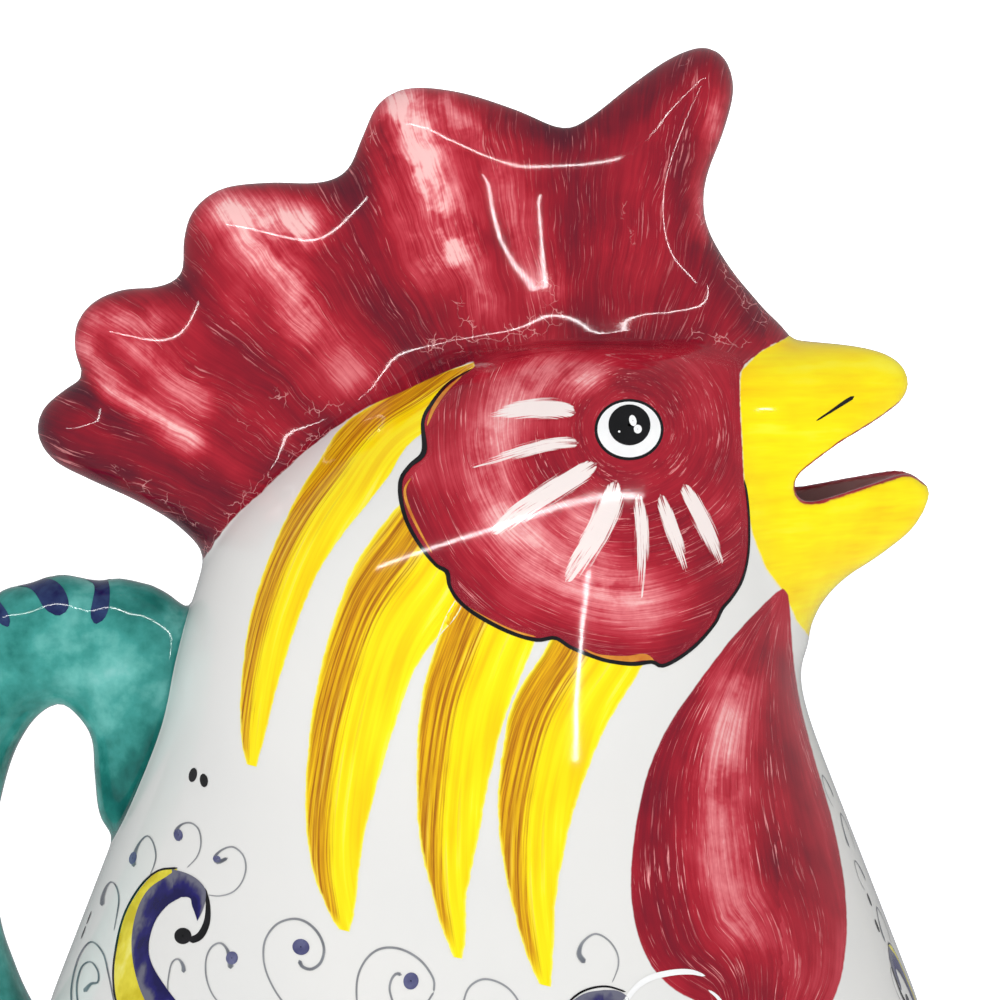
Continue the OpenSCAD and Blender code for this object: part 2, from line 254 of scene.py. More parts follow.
def comb_table():
    """Side view of the comb: its depth in from the rim, and its half thickness, which swells towards the
    crease on the skull and along each lobe's spine, and sinks in the grooves that run down from the notches."""
    t = SideTable((-98, 140), (74, 268))
    t.add(depth_in(t.points, curve_through(flat(COMB_RIM), 1.2, closed=True)), blur=0.8)
    # half thickness in millimetres: 13.2, and 2.4 more at the crease
    above, _, _ = near_line(t.points, curve_through(flat(CREASE), 2))
    half = 13.2 + 2.4 * np.exp(-(above / 5) ** 1.5)
    for line, width, steep in GROOVES:
        far, run, _ = near_line(t.points, curve_through(flat(line), 1.5))
        width = width * (1 - 0.5 * run / run.max())
        half = half - steep * width * np.exp(-0.5 * (far / width) ** 2)
    for line in SPINES:
        far, run, _ = near_line(t.points, curve_through(flat(line), 1.5))
        half = half + 1.2 * (1 - ease((run / run.max() - 0.5) / 0.5)) * np.exp(-0.5 * (far / 9) ** 2)
    dimple = np.hypot(*(t.points - flat([(664, 300)])[0]).T)
    t.add(half - 2.2 * np.exp(-0.5 * (dimple / 5.2) ** 2), blur=1.2)
    return t


BEAK_SIDE = [(700, 326), (745, 333), (785, 339), (804, 341), (836, 344), (852, 346), (868, 349), (884, 354),
             (897, 362), (905, 373), (908, 386), (913, 410), (922, 440), (928, 468), (930, 487), (928, 500),
             (921, 516), (908, 533), (884, 552), (868, 563), (852, 573), (836, 586), (820, 604), (808, 624),
             (796, 650), (740, 670), (660, 620), (630, 520), (630, 420), (650, 350)]
GAPE = [(789, 478), (792, 470), (804, 461), (820, 450), (836, 440), (852, 432), (868, 424), (884, 415), (900, 405),
        (912, 393), (940, 372), (1010, 320), (1010, 520), (945, 485), (926, 478), (914, 470), (900, 467), (884, 470),
        (868, 474), (852, 478), (836, 482), (820, 486), (804, 489), (793, 487)]


def beak_table():
    """Side view of the beak: the depth in from its closed outline, its half width, and the open wedge."""
    t = SideTable((20, 120), (100, 210))
    t.add(depth_in(t.points, curve_through(flat(BEAK_SIDE), 1.2, closed=True)), blur=0.6)
    # half width in millimetres: 8.5 at the tip, 24 where it leaves the skull
    t.add(8.5 + 15.5 * ease((86 - t.points[:, 0]) / 36), blur=1.0)
    t.add(depth_in(t.points, curve_through(flat(GAPE), 1.0, closed=True)), blur=0.35)
    return t


FIRST_BAR, BAR_SPACE = (97, 585), 5.9   # pixel of the first painted bar, and millimetres from bar to bar
# handle stations from its upper to its lower root: x, z, half thickness, half width, way that its outer side faces
HANDLE = np.array([
    [-52.9, 121.7, 21.5, 16.6, 69], [-58.7, 125.1, 21.4, 14.7, 69], [-65, 130.2, 22, 12.4, 69],
    [-68.4, 137, 19.2, 10.6, 72], [-71.9, 141, 15.5, 9.8, 79], [-76.5, 143.3, 13.2, 9.5, 85],
    [-81.1, 144.5, 12.4, 9.5, 92], [-86.8, 142.8, 12.5, 9.5, 102], [-92.6, 138.8, 12.7, 9.5, 115],
    [-98.1, 131.9, 12.6, 9.5, 130], [-102, 122.8, 12, 9.5, 147], [-104.1, 111.4, 10.9, 9.5, 165],
    [-104.4, 99.4, 10.4, 9.5, 183], [-102.9, 86.3, 10.4, 9.5, 197], [-99.5, 76.1, 10.5, 9.7, 212],
    [-94.9, 66.9, 10.5, 10.3, 226], [-88.6, 58.4, 10.5, 11.4, 240], [-80.5, 51, 10.7, 13.3, 248],
    [-70.5, 45.3, 11, 15.2, 252]])


def handle_table():
    """Side view of the handle between its outer and inner edge, which stand half a thickness off the stations:
    with a and b the signed distances beyond the two edges, the offset from the middle is (a - b) / 2 and the
    half thickness -(a + b) / 2. Then low swellings on the outer side and the half width."""
    line = curve_through(HANDLE, 1.2)
    t = SideTable((-126, 14), (-34, 176))
    _, run, _ = near_line(t.points, line[:, :2])
    runs = run_along(line)
    way = np.stack([np.cos(np.radians(line[:, 4])), np.sin(np.radians(line[:, 4]))], 1)
    beyond = []
    for reach, sign in ((line[:, 2:3] - 0.25, -1), (-line[:, 2:3], 1)):
        far, _, side = near_line(t.points, line[:, :2] + way * reach)
        beyond.append(far * side * sign)
    first_bar = near_line(flat([FIRST_BAR]), line[:, :2])[1][0]
    wave = 0.5 + 0.5 * np.cos(2 * np.pi * (run - first_bar) / BAR_SPACE)
    t.add((beyond[0] - beyond[1]) / 2, blur=0.5)
    t.add(-(beyond[0] + beyond[1]) / 2, blur=0.5)
    t.add(np.interp(run, runs, line[:, 3]), blur=1.5)
    t.add(wave * ease((run - 18) / 8), blur=0.8)
    return t


comb_side, beak_side, handle_side = comb_table(), beak_table(), handle_table()


def pillow(inset, y, half, round_):
    """Distance to a cushion-like body: inset is the depth in from its side outline, half its half thickness,
    and its edge is a quarter oval that is round_ long, from the rule (y / half)^2 + q^2 = 1."""
    q = np.maximum(1 + inset / round_, 0)
    v = (np.abs(y) + 1e-6) / half
    h = np.hypot(v, q)
    return (h - 1) / (np.hypot(v / half, q / round_) / h)


# left, right, low and high side of the place that each side table is good for
COMB_BOX, BEAK_BOX, HANDLE_BOX = (-97, 72, 141, 266), (21, 98, 121, 208), (-124, -36, 16, 174)


def within(box, d, x, z):
    """The distance d inside a box (left, right, low, high); outside it at least 6 mm, and the way to the box."""
    left, right, low, high = box
    out = np.maximum(np.maximum(left - x, x - right), np.maximum(low - z, z - high))
    return np.where(out > 0, np.maximum(d, 6) + out, d)


def comb_field(x, y, z):
    """Distance to the comb: a cushion over its side table, with an edge 15 mm long."""
    inset, half = comb_side.read(x, z)
    return within(COMB_BOX, pillow(inset, y, half, 15), x, z)


def beak_field(x, y, z):
    """Distance to the closed beak: a cushion over its side table, with an edge 17 mm long."""
    inset, half, _ = beak_side.read(x, z)
    return within(BEAK_BOX, pillow(inset, y, half, 17), x, z)


def handle_field(x, y, z):
    """Distance to the handle: its section at each station is the rounded box |n/t|^p + |y/w|^p = 1 with p 2.4."""
    off, thick, wide, wave = handle_side.read(x, z)
    off = off + 0.7 * wave * ease(off / thick + 0.2)
    p = 2.4
    a, b = np.abs(off) / thick + 1e-6, np.abs(y) / wide + 1e-6
    h = (a ** p + b ** p) ** (1 / p)
    slope = np.hypot((a / h) ** (p - 1) / thick, (b / h) ** (p - 1) / wide)
    return within(HANDLE_BOX, (h - 1) / slope, x, z)


BEAK_FILLET, COMB_FILLET, HANDLE_FILLET = 9, 4, 4
LIP_ROUND, RIM_ROUND = 3.0, 1.6   # softness of the cut lips, and of the edge between outside and inside
LIP_EASE = 0.9                    # the lips stand this much into the traced wedge
MOUTH_BACK = 40                   # the wedge ends here, inside the head
AWAY = 9                          # a distance that counts as well clear of a surface or a painted area


def clay_parts(points):
    """Distance to the outer form, with the members joined by round fillets and the open beak taken out with
    soft lips, and distance to the hollow one wall inside."""
    x, y, z = points[:, 0], np.abs(points[:, 1]), points[:, 2]
    body, comb = body_field(x, y, z), comb_field(x, y, z)
    beak, handle = beak_field(x, y, z), handle_field(x, y, z)
    skull = smooth_min(body, beak, BEAK_FILLET)
    outer = smooth_min(smooth_min(skull, comb, COMB_FILLET), handle, HANDLE_FILLET)
    hollow = smooth_min(smooth_min(body + WALL, beak + BEAK_WALL, 5), comb + COMB_WALL, 6)
    gape = beak_side.read(x, z)[2]
    gape = np.where((x > BEAK_BOX[1]) | (x < MOUTH_BACK), AWAY, gape - LIP_EASE)
    return smooth_max(outer, -gape, LIP_ROUND), hollow


def clay(points):
    """Distance to the clay of the whole jug: the outer form with the hollow taken out."""
    outer, hollow = clay_parts(points)
    return smooth_max(outer, -hollow, RIM_ROUND)


def slope_of(field, points, step=0.45):
    """Gradient of a field by central differences."""
    parts = []
    for k in range(3):
        off = np.zeros(3)
        off[k] = step
        parts.append((field(points + off) - field(points - off)) / (2 * step))
    return np.stack(parts, 1)


def settle(field, points, rounds, keep=None):
    """Points moved onto the surface along its slope, by the field's value over the slope's size."""
    for _ in range(rounds):
        g = slope_of(field, points)
        move = g * (field(points) / np.maximum((g ** 2).sum(1), 1e-3))[:, None]
        size = np.linalg.norm(move, axis=1, keepdims=True)
        move = move * np.minimum(1, 0.8 / np.maximum(size, 1e-9))
        if keep is not None:
            move = move * keep
        points = points - move
    return points


# ---------------------------------------------------------------- the skin
CELL = 1.3
CUT_H = 22.1   # the net ends level here; the bowl and the foot below it are turned
GRID_LOW = np.array([-122.2, -CELL / 2, CUT_H])
GRID_SIZE = (166, 72, 186)


def skin_net(field, low, cell, size):
    """Net of four-sided faces over the surface where the field is zero, for the half with y >= 0. The field's
    signs are read on a grid, each grid cell that the surface crosses gets one point, at the mean of the
    crossings on its edges, and each grid edge that the surface crosses gets the face between its four cells."""
    axes = [low[k] + cell * np.arange(size[k]) for k in range(3)]
    block = 4

    def filled(table):
        """The coarse table with each value repeated over its block of grid points."""
        for axis in range(3):
            table = np.repeat(table, block, axis)
        return table[:size[0], :size[1], :size[2]]

    # far from the surface the value of every fourth grid point is enough
    coarse = np.stack(np.meshgrid(*[a[::block] for a in axes], indexing="ij"), -1)
    coarse_value = field(coarse.reshape(-1, 3)).reshape(coarse.shape[:3])
    value = filled(coarse_value)
    near = filled(np.abs(coarse_value) < block * cell * 1.9)
    for axis in range(3):
        for shift in (-1, 1):
            near = near | np.roll(near, shift * block // 2, axis)
    ijk = np.argwhere(near)
    for some in np.array_split(ijk, max(len(ijk) // 200000, 1)):
        value[tuple(some.T)] = field(np.stack([axes[k][some[:, k]] for k in range(3)], 1))
    inside = value < 0
    cells = tuple(n - 1 for n in size)
    count = np.zeros(cells)
    total = np.zeros(cells + (3,))
    faces = []
    for axis in range(3):
        a = [slice(0, n) for n in size]
        b = [slice(0, n) for n in size]
        a[axis], b[axis] = slice(0, size[axis] - 1), slice(1, size[axis])
        va, vb = value[tuple(a)], value[tuple(b)]
        cross = inside[tuple(a)] != inside[tuple(b)]
        e = np.argwhere(cross)
        f0, f1 = va[cross], vb[cross]
        spot = np.stack([axes[k][e[:, k]] for k in range(3)], 1)
        spot[:, axis] += cell * f0 / (f0 - f1)
        o1, o2 = [(1, 2), (2, 0), (0, 1)][axis]
        corner = []
        for s1, s2 in ((1, 1), (0, 1), (0, 0), (1, 0)):
            c = e.copy()
            c[:, o1] -= s1
            c[:, o2] -= s2
            ok = (c >= 0).all(1) & (c < cells).all(1)
            np.add.at(count, tuple(c[ok].T), 1)
            np.add.at(total, tuple(c[ok].T), spot[ok])
            corner.append(np.where(ok, np.ravel_multi_index(np.clip(c, 0, np.array(cells) - 1).T, cells), -1))
        quad = np.stack(corner, 1)
        quad = np.where((f0 < f1)[:, None], quad, quad[:, ::-1])
        faces.append(quad[(quad >= 0).all(1)])
    faces = np.concatenate(faces)
    used = np.unique(faces)
    place = total.reshape(-1, 3)[used] / count.reshape(-1)[used][:, None]
    number = np.full(np.prod(cells), -1)
    number[used] = np.arange(len(used))
    where = np.stack(np.unravel_index(used, cells), 1)
    return place, number[faces], where


skin, skin_faces, cell_of = skin_net(clay, GRID_LOW, CELL, GRID_SIZE)
on_middle, on_cut = cell_of[:, 1] == 0, cell_of[:, 2] == 0

skin = settle(clay, skin, 2)
skin[on_middle, 1] = 0
skin[on_cut, 2] = CUT_H
flat_moves = np.ones((len(skin), 3))
flat_moves[on_middle, 1] = 0
flat_moves[on_cut, 2] = 0
skin = settle(clay, skin, 2, keep=flat_moves)
skin_slope = slope_of(clay, skin)
skin_slope[on_middle, 1] = 0


# corner of the mouth, how far the seam between the beak's halves rises from it, and over which length; the
# beak's members lie within a circle about (BEAK_X, MOUTH_Z)
MOUTH_X, MOUTH_Z, MOUTH_RISE, MOUTH_LENGTH = 58.3, 175.3, 66 * 0.15, 38.9
BEAK_X, BEAK_REACH = 84.5, 36


def member_of(points):
    """Which clay member a place belongs to: 0 belly, 1 neck, 2 head, 3 comb, 4 upper beak, 5 lower beak, 6 handle."""
    x, y, z = points[:, 0], np.abs(points[:, 1]), points[:, 2]
    body, comb = body_field(x, y, z), comb_field(x, y, z)
    beak, handle = beak_field(x, y, z), handle_field(x, y, z)
    part = np.where(z < BELLY_H, 0, np.where(z < THROAT_H, 1, 2))
    in_beak = (np.hypot(x - BEAK_X, z - MOUTH_Z) < BEAK_REACH) & (beak < 6)
    seam = MOUTH_Z + MOUTH_RISE * (x - MOUTH_X) / MOUTH_LENGTH
    part = np.where(in_beak & (z > 135), np.where(z > np.where(x < MOUTH_X, MOUTH_Z, seam), 4, 5), part)
    part = np.where((comb < body) & (comb < beak) & (comb > -4.6), 3, part)
    return np.where((handle < body) & (handle < 2) & (body > -2), 6, part)


def make_piece(name, net, node, glaze, layers=None):
    """A mesh object in metres from a net (points, faces, normals, caps), smooth, with the net's own normals and
    the given layers, or else the clay's painted ones."""
    points, faces, normals, caps = net
    used = np.unique(faces)
    number = np.full(len(points), -1)
    number[used] = np.arange(len(used))
    mesh = bpy.data.meshes.new(name)
    ends = [number[np.array(cap)].tolist() for cap in caps]
    mesh.from_pydata((points[used] / 1000).tolist(), [], number[faces].tolist() + ends)
    mesh.update()
    mesh.shade_smooth()
    for key, values in (paint_layers(points[used]) if layers is None else layers).items():
        layer = mesh.attributes.new(key, "FLOAT_VECTOR", "POINT")
        layer.data.foreach_set("vector", values.astype(np.float32).ravel())
    n = normals[used] / np.maximum(np.linalg.norm(normals[used], axis=1, keepdims=True), 1e-9)
    mesh.normals_split_custom_set_from_vertices(n.astype(np.float32))
    piece = bpy.data.objects.new(name, mesh)
    bpy.context.scene.collection.objects.link(piece)
    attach(piece, "root")
    if node:
        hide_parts(node)
    piece.data.materials.append(glaze)


def mirrored(points, faces, normals, middle):
    """The half with y >= 0 and its mirror image as one net, joined along the middle plane."""
    other = np.where(middle, np.arange(len(points)), len(points) + np.cumsum(~middle) - 1)
    flip = np.array([1, -1, 1])
    all_points = np.concatenate([points, points[~middle] * flip])
    all_normals = np.concatenate([normals, normals[~middle] * flip])
    return all_points, np.concatenate([faces, other[faces][:, ::-1]]), all_normals


points, faces, normals = mirrored(skin, skin_faces, skin_slope, on_middle)
part = member_of(points[faces].mean(1))


def turned(profile, sides=360):
    """Net of a turned form: the profile (r, z, in order from outside to inside, seen with the clay on its
    left) carried round the axis, closed on itself round the turn, with its normals square to the profile.
    A profile that ends near the axis is closed there by one flat face."""
    p = np.asarray(profile, float)
    slope = np.gradient(p, axis=0)
    out = np.stack([-slope[:, 1], slope[:, 0]], 1)
    out /= np.linalg.norm(out, axis=1, keepdims=True)
    turn = np.arange(sides) / sides * 2 * np.pi
    c, s = np.cos(turn), np.sin(turn)
    ring = np.stack([p[:, :1] * c, p[:, :1] * s, np.repeat(p[:, 1:], sides, 1)], -1)
    norm = np.stack([out[:, :1] * c, out[:, :1] * s, np.repeat(out[:, 1:], sides, 1)], -1)
    index = np.arange(len(p) * sides).reshape(len(p), sides)
    right = np.roll(index, -1, axis=1)
    quad = np.stack([index[:-1], index[1:], right[1:], right[:-1]], -1).reshape(-1, 4)
    caps = [index[k][::1 if k == 0 else -1].tolist() for k in (0, -1) if p[k, 0] < 3]
    return ring.reshape(-1, 3), quad, norm.reshape(-1, 3), caps


def joined(nets):
    """Several nets (points, faces, normals, caps) as one."""
    starts = np.cumsum([0] + [len(net[0]) for net in nets])
    return (np.concatenate([net[0] for net in nets]),
            np.concatenate([net[1] + at for net, at in zip(nets, starts)]),
            np.concatenate([net[2] for net in nets]),
            [[k + int(at) for k in cap] for net, at in zip(nets, starts) for cap in net[3]])


def shell_radius(z, depth):
    """Radius at height z of the turned surface one depth inside the outer one."""
    slant = (body_radius(z + 0.5) - body_radius(z)) / 0.5
    return body_radius(z) - depth * np.sqrt(1 + slant ** 2)


def arc(cx, cz, r, start, end, n):
    """n profile points of an arc about (cx, cz), from one angle to the other in degrees."""
    a = np.radians(np.linspace(start, end, n))
    return np.stack([cx + r * np.cos(a), cz + r * np.sin(a)], 1)


# ---------------------------------------------------------------- where each colour goes, in the photograph's pixels
CHEEK = [(472, 369), (448, 384), (431, 405), (423, 422), (424, 452), (410, 466), (401, 480), (401, 500), (408, 524),
         (422, 548), (436, 565), (447, 572), (450, 587), (461, 603), (480, 617), (509, 632), (536, 640), (555, 638),
         (570, 647), (589, 655), (608, 661), (633, 664), (652, 662), (662, 666), (679, 658), (698, 643), (715, 623),
         (722, 609), (732, 597), (742, 580), (748, 555), (749, 524), (747, 497), (744, 480)]
COMB_FOOT = [(180, 580), (205, 557), (222, 532), (243, 509), (262, 492), (283, 472), (305, 452), (335, 428),
             (368, 407), (400, 393), (432, 378), (472, 362)]
BEAK_EDGE = [(744, 480), (742, 440), (740, 400), (741, 371), (760, 352), (786, 338)]
RED_AREA = COMB_FOOT + CHEEK + BEAK_EDGE[1:] + [(900, 250), (1000, -200), (-200, -200), (-200, 700)]
BEAK_AREA = [(786, 338), (760, 352), (741, 371), (740, 400), (742, 440), (744, 480), (747, 505), (752, 532),
             (765, 567), (785, 594), (797, 621), (812, 640), (1040, 560), (1040, 300), (830, 300)]
CHEEK_AREA = CHEEK + [(742, 440), (738, 390), (735, 362), (690, 350), (600, 344), (540, 348), (500, 355)]
WATTLE_LEFT = [(783, 588), (757, 611), (728, 643), (700, 680), (677, 712), (660, 742), (648, 772), (640, 803),
               (634, 838), (631, 873), (632, 905), (638, 935), (652, 967), (675, 990), (700, 1003)]
WATTLE_RIGHT = [(783, 588), (789, 601), (792, 640), (795, 672), (800, 702), (807, 731), (815, 760), (823, 787),
                (831, 815), (838, 845), (844, 880), (847, 920), (845, 955), (839, 985), (825, 1012)]
WATTLE = WATTLE_LEFT + [(728, 1019), (760, 1030), (795, 1028)] + WATTLE_RIGHT[:0:-1]
# where the red is rubbed down and shows pink, partly as painted light on the comb's lobes, and where it lies thick
# and dark, partly as painted shade down the grooves and along the crease: line, half width in pixels, strength
THIN_RED_AND_PAINTED_LIGHT = [([(405, 108), (418, 150), (430, 200), (450, 255)], 24, 1.0), ([(445, 105), (478, 140)], 11, 0.7),
            ([(450, 255), (478, 300)], 15, 0.55), ([(490, 150), (520, 230), (548, 290)], 15, 0.4),
            ([(228, 212), (300, 226)], 17, 0.95), ([(243, 235), (285, 275), (305, 325)], 16, 0.7),
            ([(320, 330), (350, 370)], 16, 0.35), ([(95, 318), (150, 322)], 13, 0.6),
            ([(125, 340), (200, 400)], 13, 0.45), ([(84, 345), (112, 388), (190, 440)], 11, 0.65),
            ([(718, 100), (706, 170), (700, 230)], 9, 0.5),
            ([(545, 375), (505, 405), (490, 460), (505, 520)], 22, 0.62),
            ([(505, 520), (560, 575), (640, 600)], 24, 0.6), ([(560, 385), (590, 378)], 12, 0.8),
            ([(738, 690), (722, 780), (724, 860), (748, 930)], 20, 0.5), ([(580, 520), (620, 600)], 18, 0.5),
            ([(610, 240), (640, 270)], 14, 0.2)]
THICK_RED_AND_PAINTED_SHADE = [([(570, 132), (578, 230), (590, 335)], 17, 0.7), ([(350, 185), (375, 270), (430, 360)], 20, 0.75),
             ([(190, 285), (240, 350), (330, 430)], 14, 0.7), ([(80, 385), (140, 440), (230, 500)], 13, 1.0),
             ([(50, 430), (120, 490), (200, 545)], 24, 0.9), ([(610, 130), (690, 68)], 10, 0.6),
             ([(690, 85), (680, 190), (700, 270), (760, 330)], 10, 0.55),
             ([(230, 500), (330, 425), (480, 352)], 12, 0.5), ([(480, 350), (700, 340)], 9, 0.45),
             ([(590, 440), (600, 470), (650, 490), (690, 470)], 14, 0.3),
             ([(450, 600), (600, 655), (700, 630), (745, 540)], 15, 0.45),
             ([(770, 660), (790, 800), (815, 940)], 16, 0.6),
             ([(690, 700), (655, 800), (655, 900), (700, 980)], 14, 0.45), ([(408, 500), (450, 595)], 12, 0.4)]
# hairline cracks in the glaze: line, half width in pixels, strength
CRACKED = [([(208, 548), (235, 515), (262, 492), (330, 436)], 13, 1.0),
           ([(120, 470), (165, 500), (200, 540)], 12, 0.7), ([(275, 395), (330, 410), (372, 382)], 11, 0.8),
           ([(430, 345), (500, 335), (552, 318), (548, 285)], 11, 1.0), ([(455, 300), (470, 330)], 10, 0.8),
           ([(598, 150), (625, 215), (640, 260)], 7, 0.55), ([(380, 118), (372, 140)], 7, 0.7),
           ([(700, 205), (722, 262), (762, 318)], 10, 0.85), ([(570, 128), (640, 82), (700, 56)], 5, 0.6),
           ([(690, 330), (745, 345)], 8, 0.8), ([(240, 420), (262, 440)], 8, 0.7)]


def washed(plane, strokes):
    """The strongest of soft strokes on the photograph's plane: each a bell curve of the distance to its line."""
    total = np.zeros(len(plane))
    for line, width, strength in strokes:
        far, _, _ = near_line(plane, curve_through(line, 14) if len(line) > 2 else np.array(line, float))
        total = np.maximum(total, strength * np.exp(-0.5 * (far / width) ** 2))
    return total


LIP_BACK = 52   # the red lips and the red inside of the beak end here


def paint_layers(points):
    """Painted layers of clay points: their place on the photograph's plane, how deep they lie inside the red,
    yellow and teal areas, how far the red is rubbed pale or laid dark, partly as painted light on the comb's lobes
    and painted shade in its grooves, along its crease and at its rim, and how deep they lie in cheek, wattle and
    hollow."""
    plane = plane_of(points)
    x, y, z = points[:, 0], np.abs(points[:, 1]), points[:, 2]
    outer = clay_parts(points)[0]

    def inward(outline):
        """Depth inside an outline on the photograph's plane, in millimetres."""
        return -depth_in(plane, np.asarray(outline, float)) * MM_PER_PIXEL

    red = inward(curve_through(RED_AREA[:-4], 6).tolist() + RED_AREA[-4:])
    red = np.where(z < 120, -AWAY, red)
    # the yellow and the wattle keep to the front of the head
    beak = np.minimum(inward(BEAK_AREA), x - MOUTH_BACK)
    wattle = np.where((x < 20) | (z > 172), -AWAY, inward(curve_through(WATTLE, 8, closed=True)))
    teal = 2.0 - handle_field(x, y, z) + np.minimum(body_field(x, y, z), 0.5)
    inside = np.where(x > LIP_BACK, -0.35, -2.2) - outer
    # the red turns in over the lips and covers the beak's inside; behind that the inside is white
    lip = 1.35 - beak_side.read(x, z)[2]
    red = np.where((x > LIP_BACK) & (x < 97), np.maximum(red, lip), red)
    red = np.where(inside > 0, np.minimum(x - LIP_BACK, 186 - z), red)
    beak, wattle, teal = (np.where(inside > 0, -AWAY, depth) for depth in (beak, wattle, teal))
    cheek = inward(CHEEK_AREA)
    # painted shade: the comb is darkened towards its rim
    inset, _ = comb_side.read(x, z)
    rim = np.exp(-(np.maximum(inset + 1.0, -AWAY) / 4.5) ** 2) * (comb_field(x, y, z) < 1)
    place = np.stack([(plane[:, 0] - MIDDLE) * MM_PER_PIXEL, (MIDDLE - plane[:, 1]) * MM_PER_PIXEL,
                      np.zeros(len(plane))], 1)
    to_left = near_line(plane, curve_through(WATTLE_LEFT, 8))[0]
    to_right = near_line(plane, curve_through(WATTLE_RIGHT, 8))[0]
    brush = np.stack([to_left / np.maximum(to_left + to_right, 1e-6), washed(plane, CRACKED), wattle], 1)
    return {"side": place, "paint": np.stack([red, beak, teal], 1),
            "tone": np.stack([washed(plane, THIN_RED_AND_PAINTED_LIGHT), washed(plane, THICK_RED_AND_PAINTED_SHADE), rim], 1),
            "zone": np.stack([cheek, wattle, inside], 1), "brush": brush}


# ---------------------------------------------------------------- glazes
def tint(red, green, blue):
    """A colour given as it looks, 0 to 255, in the linear numbers that a shader takes."""
    c = np.array([red, green, blue]) / 255
    c = np.where(c <= 0.04045, c / 12.92, ((c + 0.055) / 1.055) ** 2.4)
    return (*map(float, c), 1.0)


class Wire:
    """One output socket. Sums, differences and products of it, with numbers or other wires, add Math nodes."""

    def __init__(self, glaze, socket):
        self.glaze, self.socket = glaze, socket

    def math(self, operation, *values):
        """A Math node on these values."""
        return self.glaze.node("Math", {"operation": operation}, dict(enumerate(values)))

    def __add__(self, other): return self.math("ADD", self, other)
    def __radd__(self, other): return self.math("ADD", other, self)
    def __sub__(self, other): return self.math("SUBTRACT", self, other)
    def __rsub__(self, other): return self.math("SUBTRACT", other, self)
    def __mul__(self, other): return self.math("MULTIPLY", self, other)
    def __rmul__(self, other): return self.math("MULTIPLY", other, self)
    def __abs__(self): return self.math("ABSOLUTE", self)

    def most(self, other):
        """The greater of the two."""
        return self.math("MAXIMUM", self, other)

    def between(self, low, high):
        """0 at low, 1 at high, straight between and held outside."""
        return self.glaze.node("MapRange", {"clamp": True}, {0: self, 1: low, 2: high, 3: 0.0, 4: 1.0})


class Glaze:
    """One material, and the one method that adds any node to it."""

    def __init__(self, name, roughness=0.09):
        self.material = bpy.data.materials.new(name)
        self.material.use_nodes = True
        self.tree = self.material.node_tree
        self.shader = self.tree.nodes["Principled BSDF"]
        self.shader.inputs["IOR"].default_value = 1.52
        self.shader.inputs["Roughness"].default_value = roughness
        self.shader.inputs["Specular IOR Level"].default_value = 0.46

    def feed(self, socket, value):
        """A wire is linked to the socket, anything else is set on it."""
        if isinstance(value, Wire):
            self.tree.links.new(value.socket, socket)
        else:
            socket.default_value = value

    def node(self, kind, settings=None, inputs=None, out=0):
        """Any node: its kind, its settings, which are set first, what its sockets get, and the output wanted."""
        n = self.tree.nodes.new("ShaderNode" + kind)
        for key, value in (settings or {}).items():
            if key == "stops":
                ramp = n.color_ramp
                while len(ramp.elements) < len(value):
                    ramp.elements.new(0.5)
                for element, (place, colour) in zip(ramp.elements, value):
                    element.position, element.color = place, colour
            else:
                setattr(n, key, value)
        for key, value in (inputs or {}).items():
            self.feed(n.inputs[key], value)
        return Wire(self, n.outputs[out])

    def set(self, name, value):
        """A value or a wire on the clay's own shader."""
        self.feed(self.shader.inputs[name], value)

    def split(self, vector):
        """The three numbers of a vector."""
        node = self.node("SeparateXYZ", None, {0: vector}).socket.node
        return [Wire(self, node.outputs[k]) for k in range(3)]

    def layer(self, name):
        """A painted layer of the mesh as a vector."""
        return self.node("Attribute", {"attribute_name": name}, None, 1)

    def vector(self, operation, *values, out=0):
        """A Vector Math node on these values."""
        return self.node("VectorMath", {"operation": operation}, dict(enumerate(values)), out)

    def pack(self, x, y, z):
        """Three numbers as a vector."""
        return self.node("CombineXYZ", None, {0: x, 1: y, 2: z})

    def noise(self, place, scale, detail=2.0, rough=0.5, out=0):
        """Soft noise of 0 to 1 about a half, or with out=1 three of them as a colour."""
        return self.node("TexNoise", None,
                         {"Vector": place, "Scale": scale, "Detail": detail, "Roughness": rough}, out)

    def mix(self, share, a, b):
        """Colour a where the share is 0, b where it is 1."""
        return self.node("Mix", {"data_type": "RGBA", "clamp_factor": True}, {0: share, 6: a, 7: b}, 2)

    def ramp(self, share, *stops):
        """Colours along a share of 0 to 1, from rows of place, red, green and blue as they look."""
        return self.node("ValToRGB", {"stops": [(place, tint(*colour)) for place, *colour in stops]}, {0: share})

    def object_place(self):
        """Place in millimetres."""
        return self.vector("MULTIPLY", self.node("TexCoord", None, None, 3), (1000, 1000, 1000))


def streak_round(g, side, pole, fine, drift, spin):
    """Brush marks about a pole on the photograph's plane: noise that changes fast across the bristles and
    slowly along them. Marks run out from the pole, or round it when spin is true."""
    rel = g.vector("SUBTRACT", side, ((pole[0] - MIDDLE) * MM_PER_PIXEL, (MIDDLE - pole[1]) * MM_PER_PIXEL, 0))
    far = g.vector("LENGTH", rel, out=1)
    way = g.vector("NORMALIZE", rel)
    if spin:
        x, y, _ = g.split(way)
        return g.pack(far * fine, x * drift, y * drift), far
    return g.vector("ADD", g.vector("MULTIPLY", way, (fine, fine, fine)), g.pack(0, 0, far * drift)), far


def white_colour(g, mm):
    """White glaze with wide soft clouds."""
    cloud = g.noise(mm, 0.03, 2.0)
    return g.mix(cloud, tint(232, 230, 226), tint(222, 222, 220))


COMB_POLE, EYE_POLE = (575, 640), (629, 429)   # pixels that the brush marks fan out from and swirl round


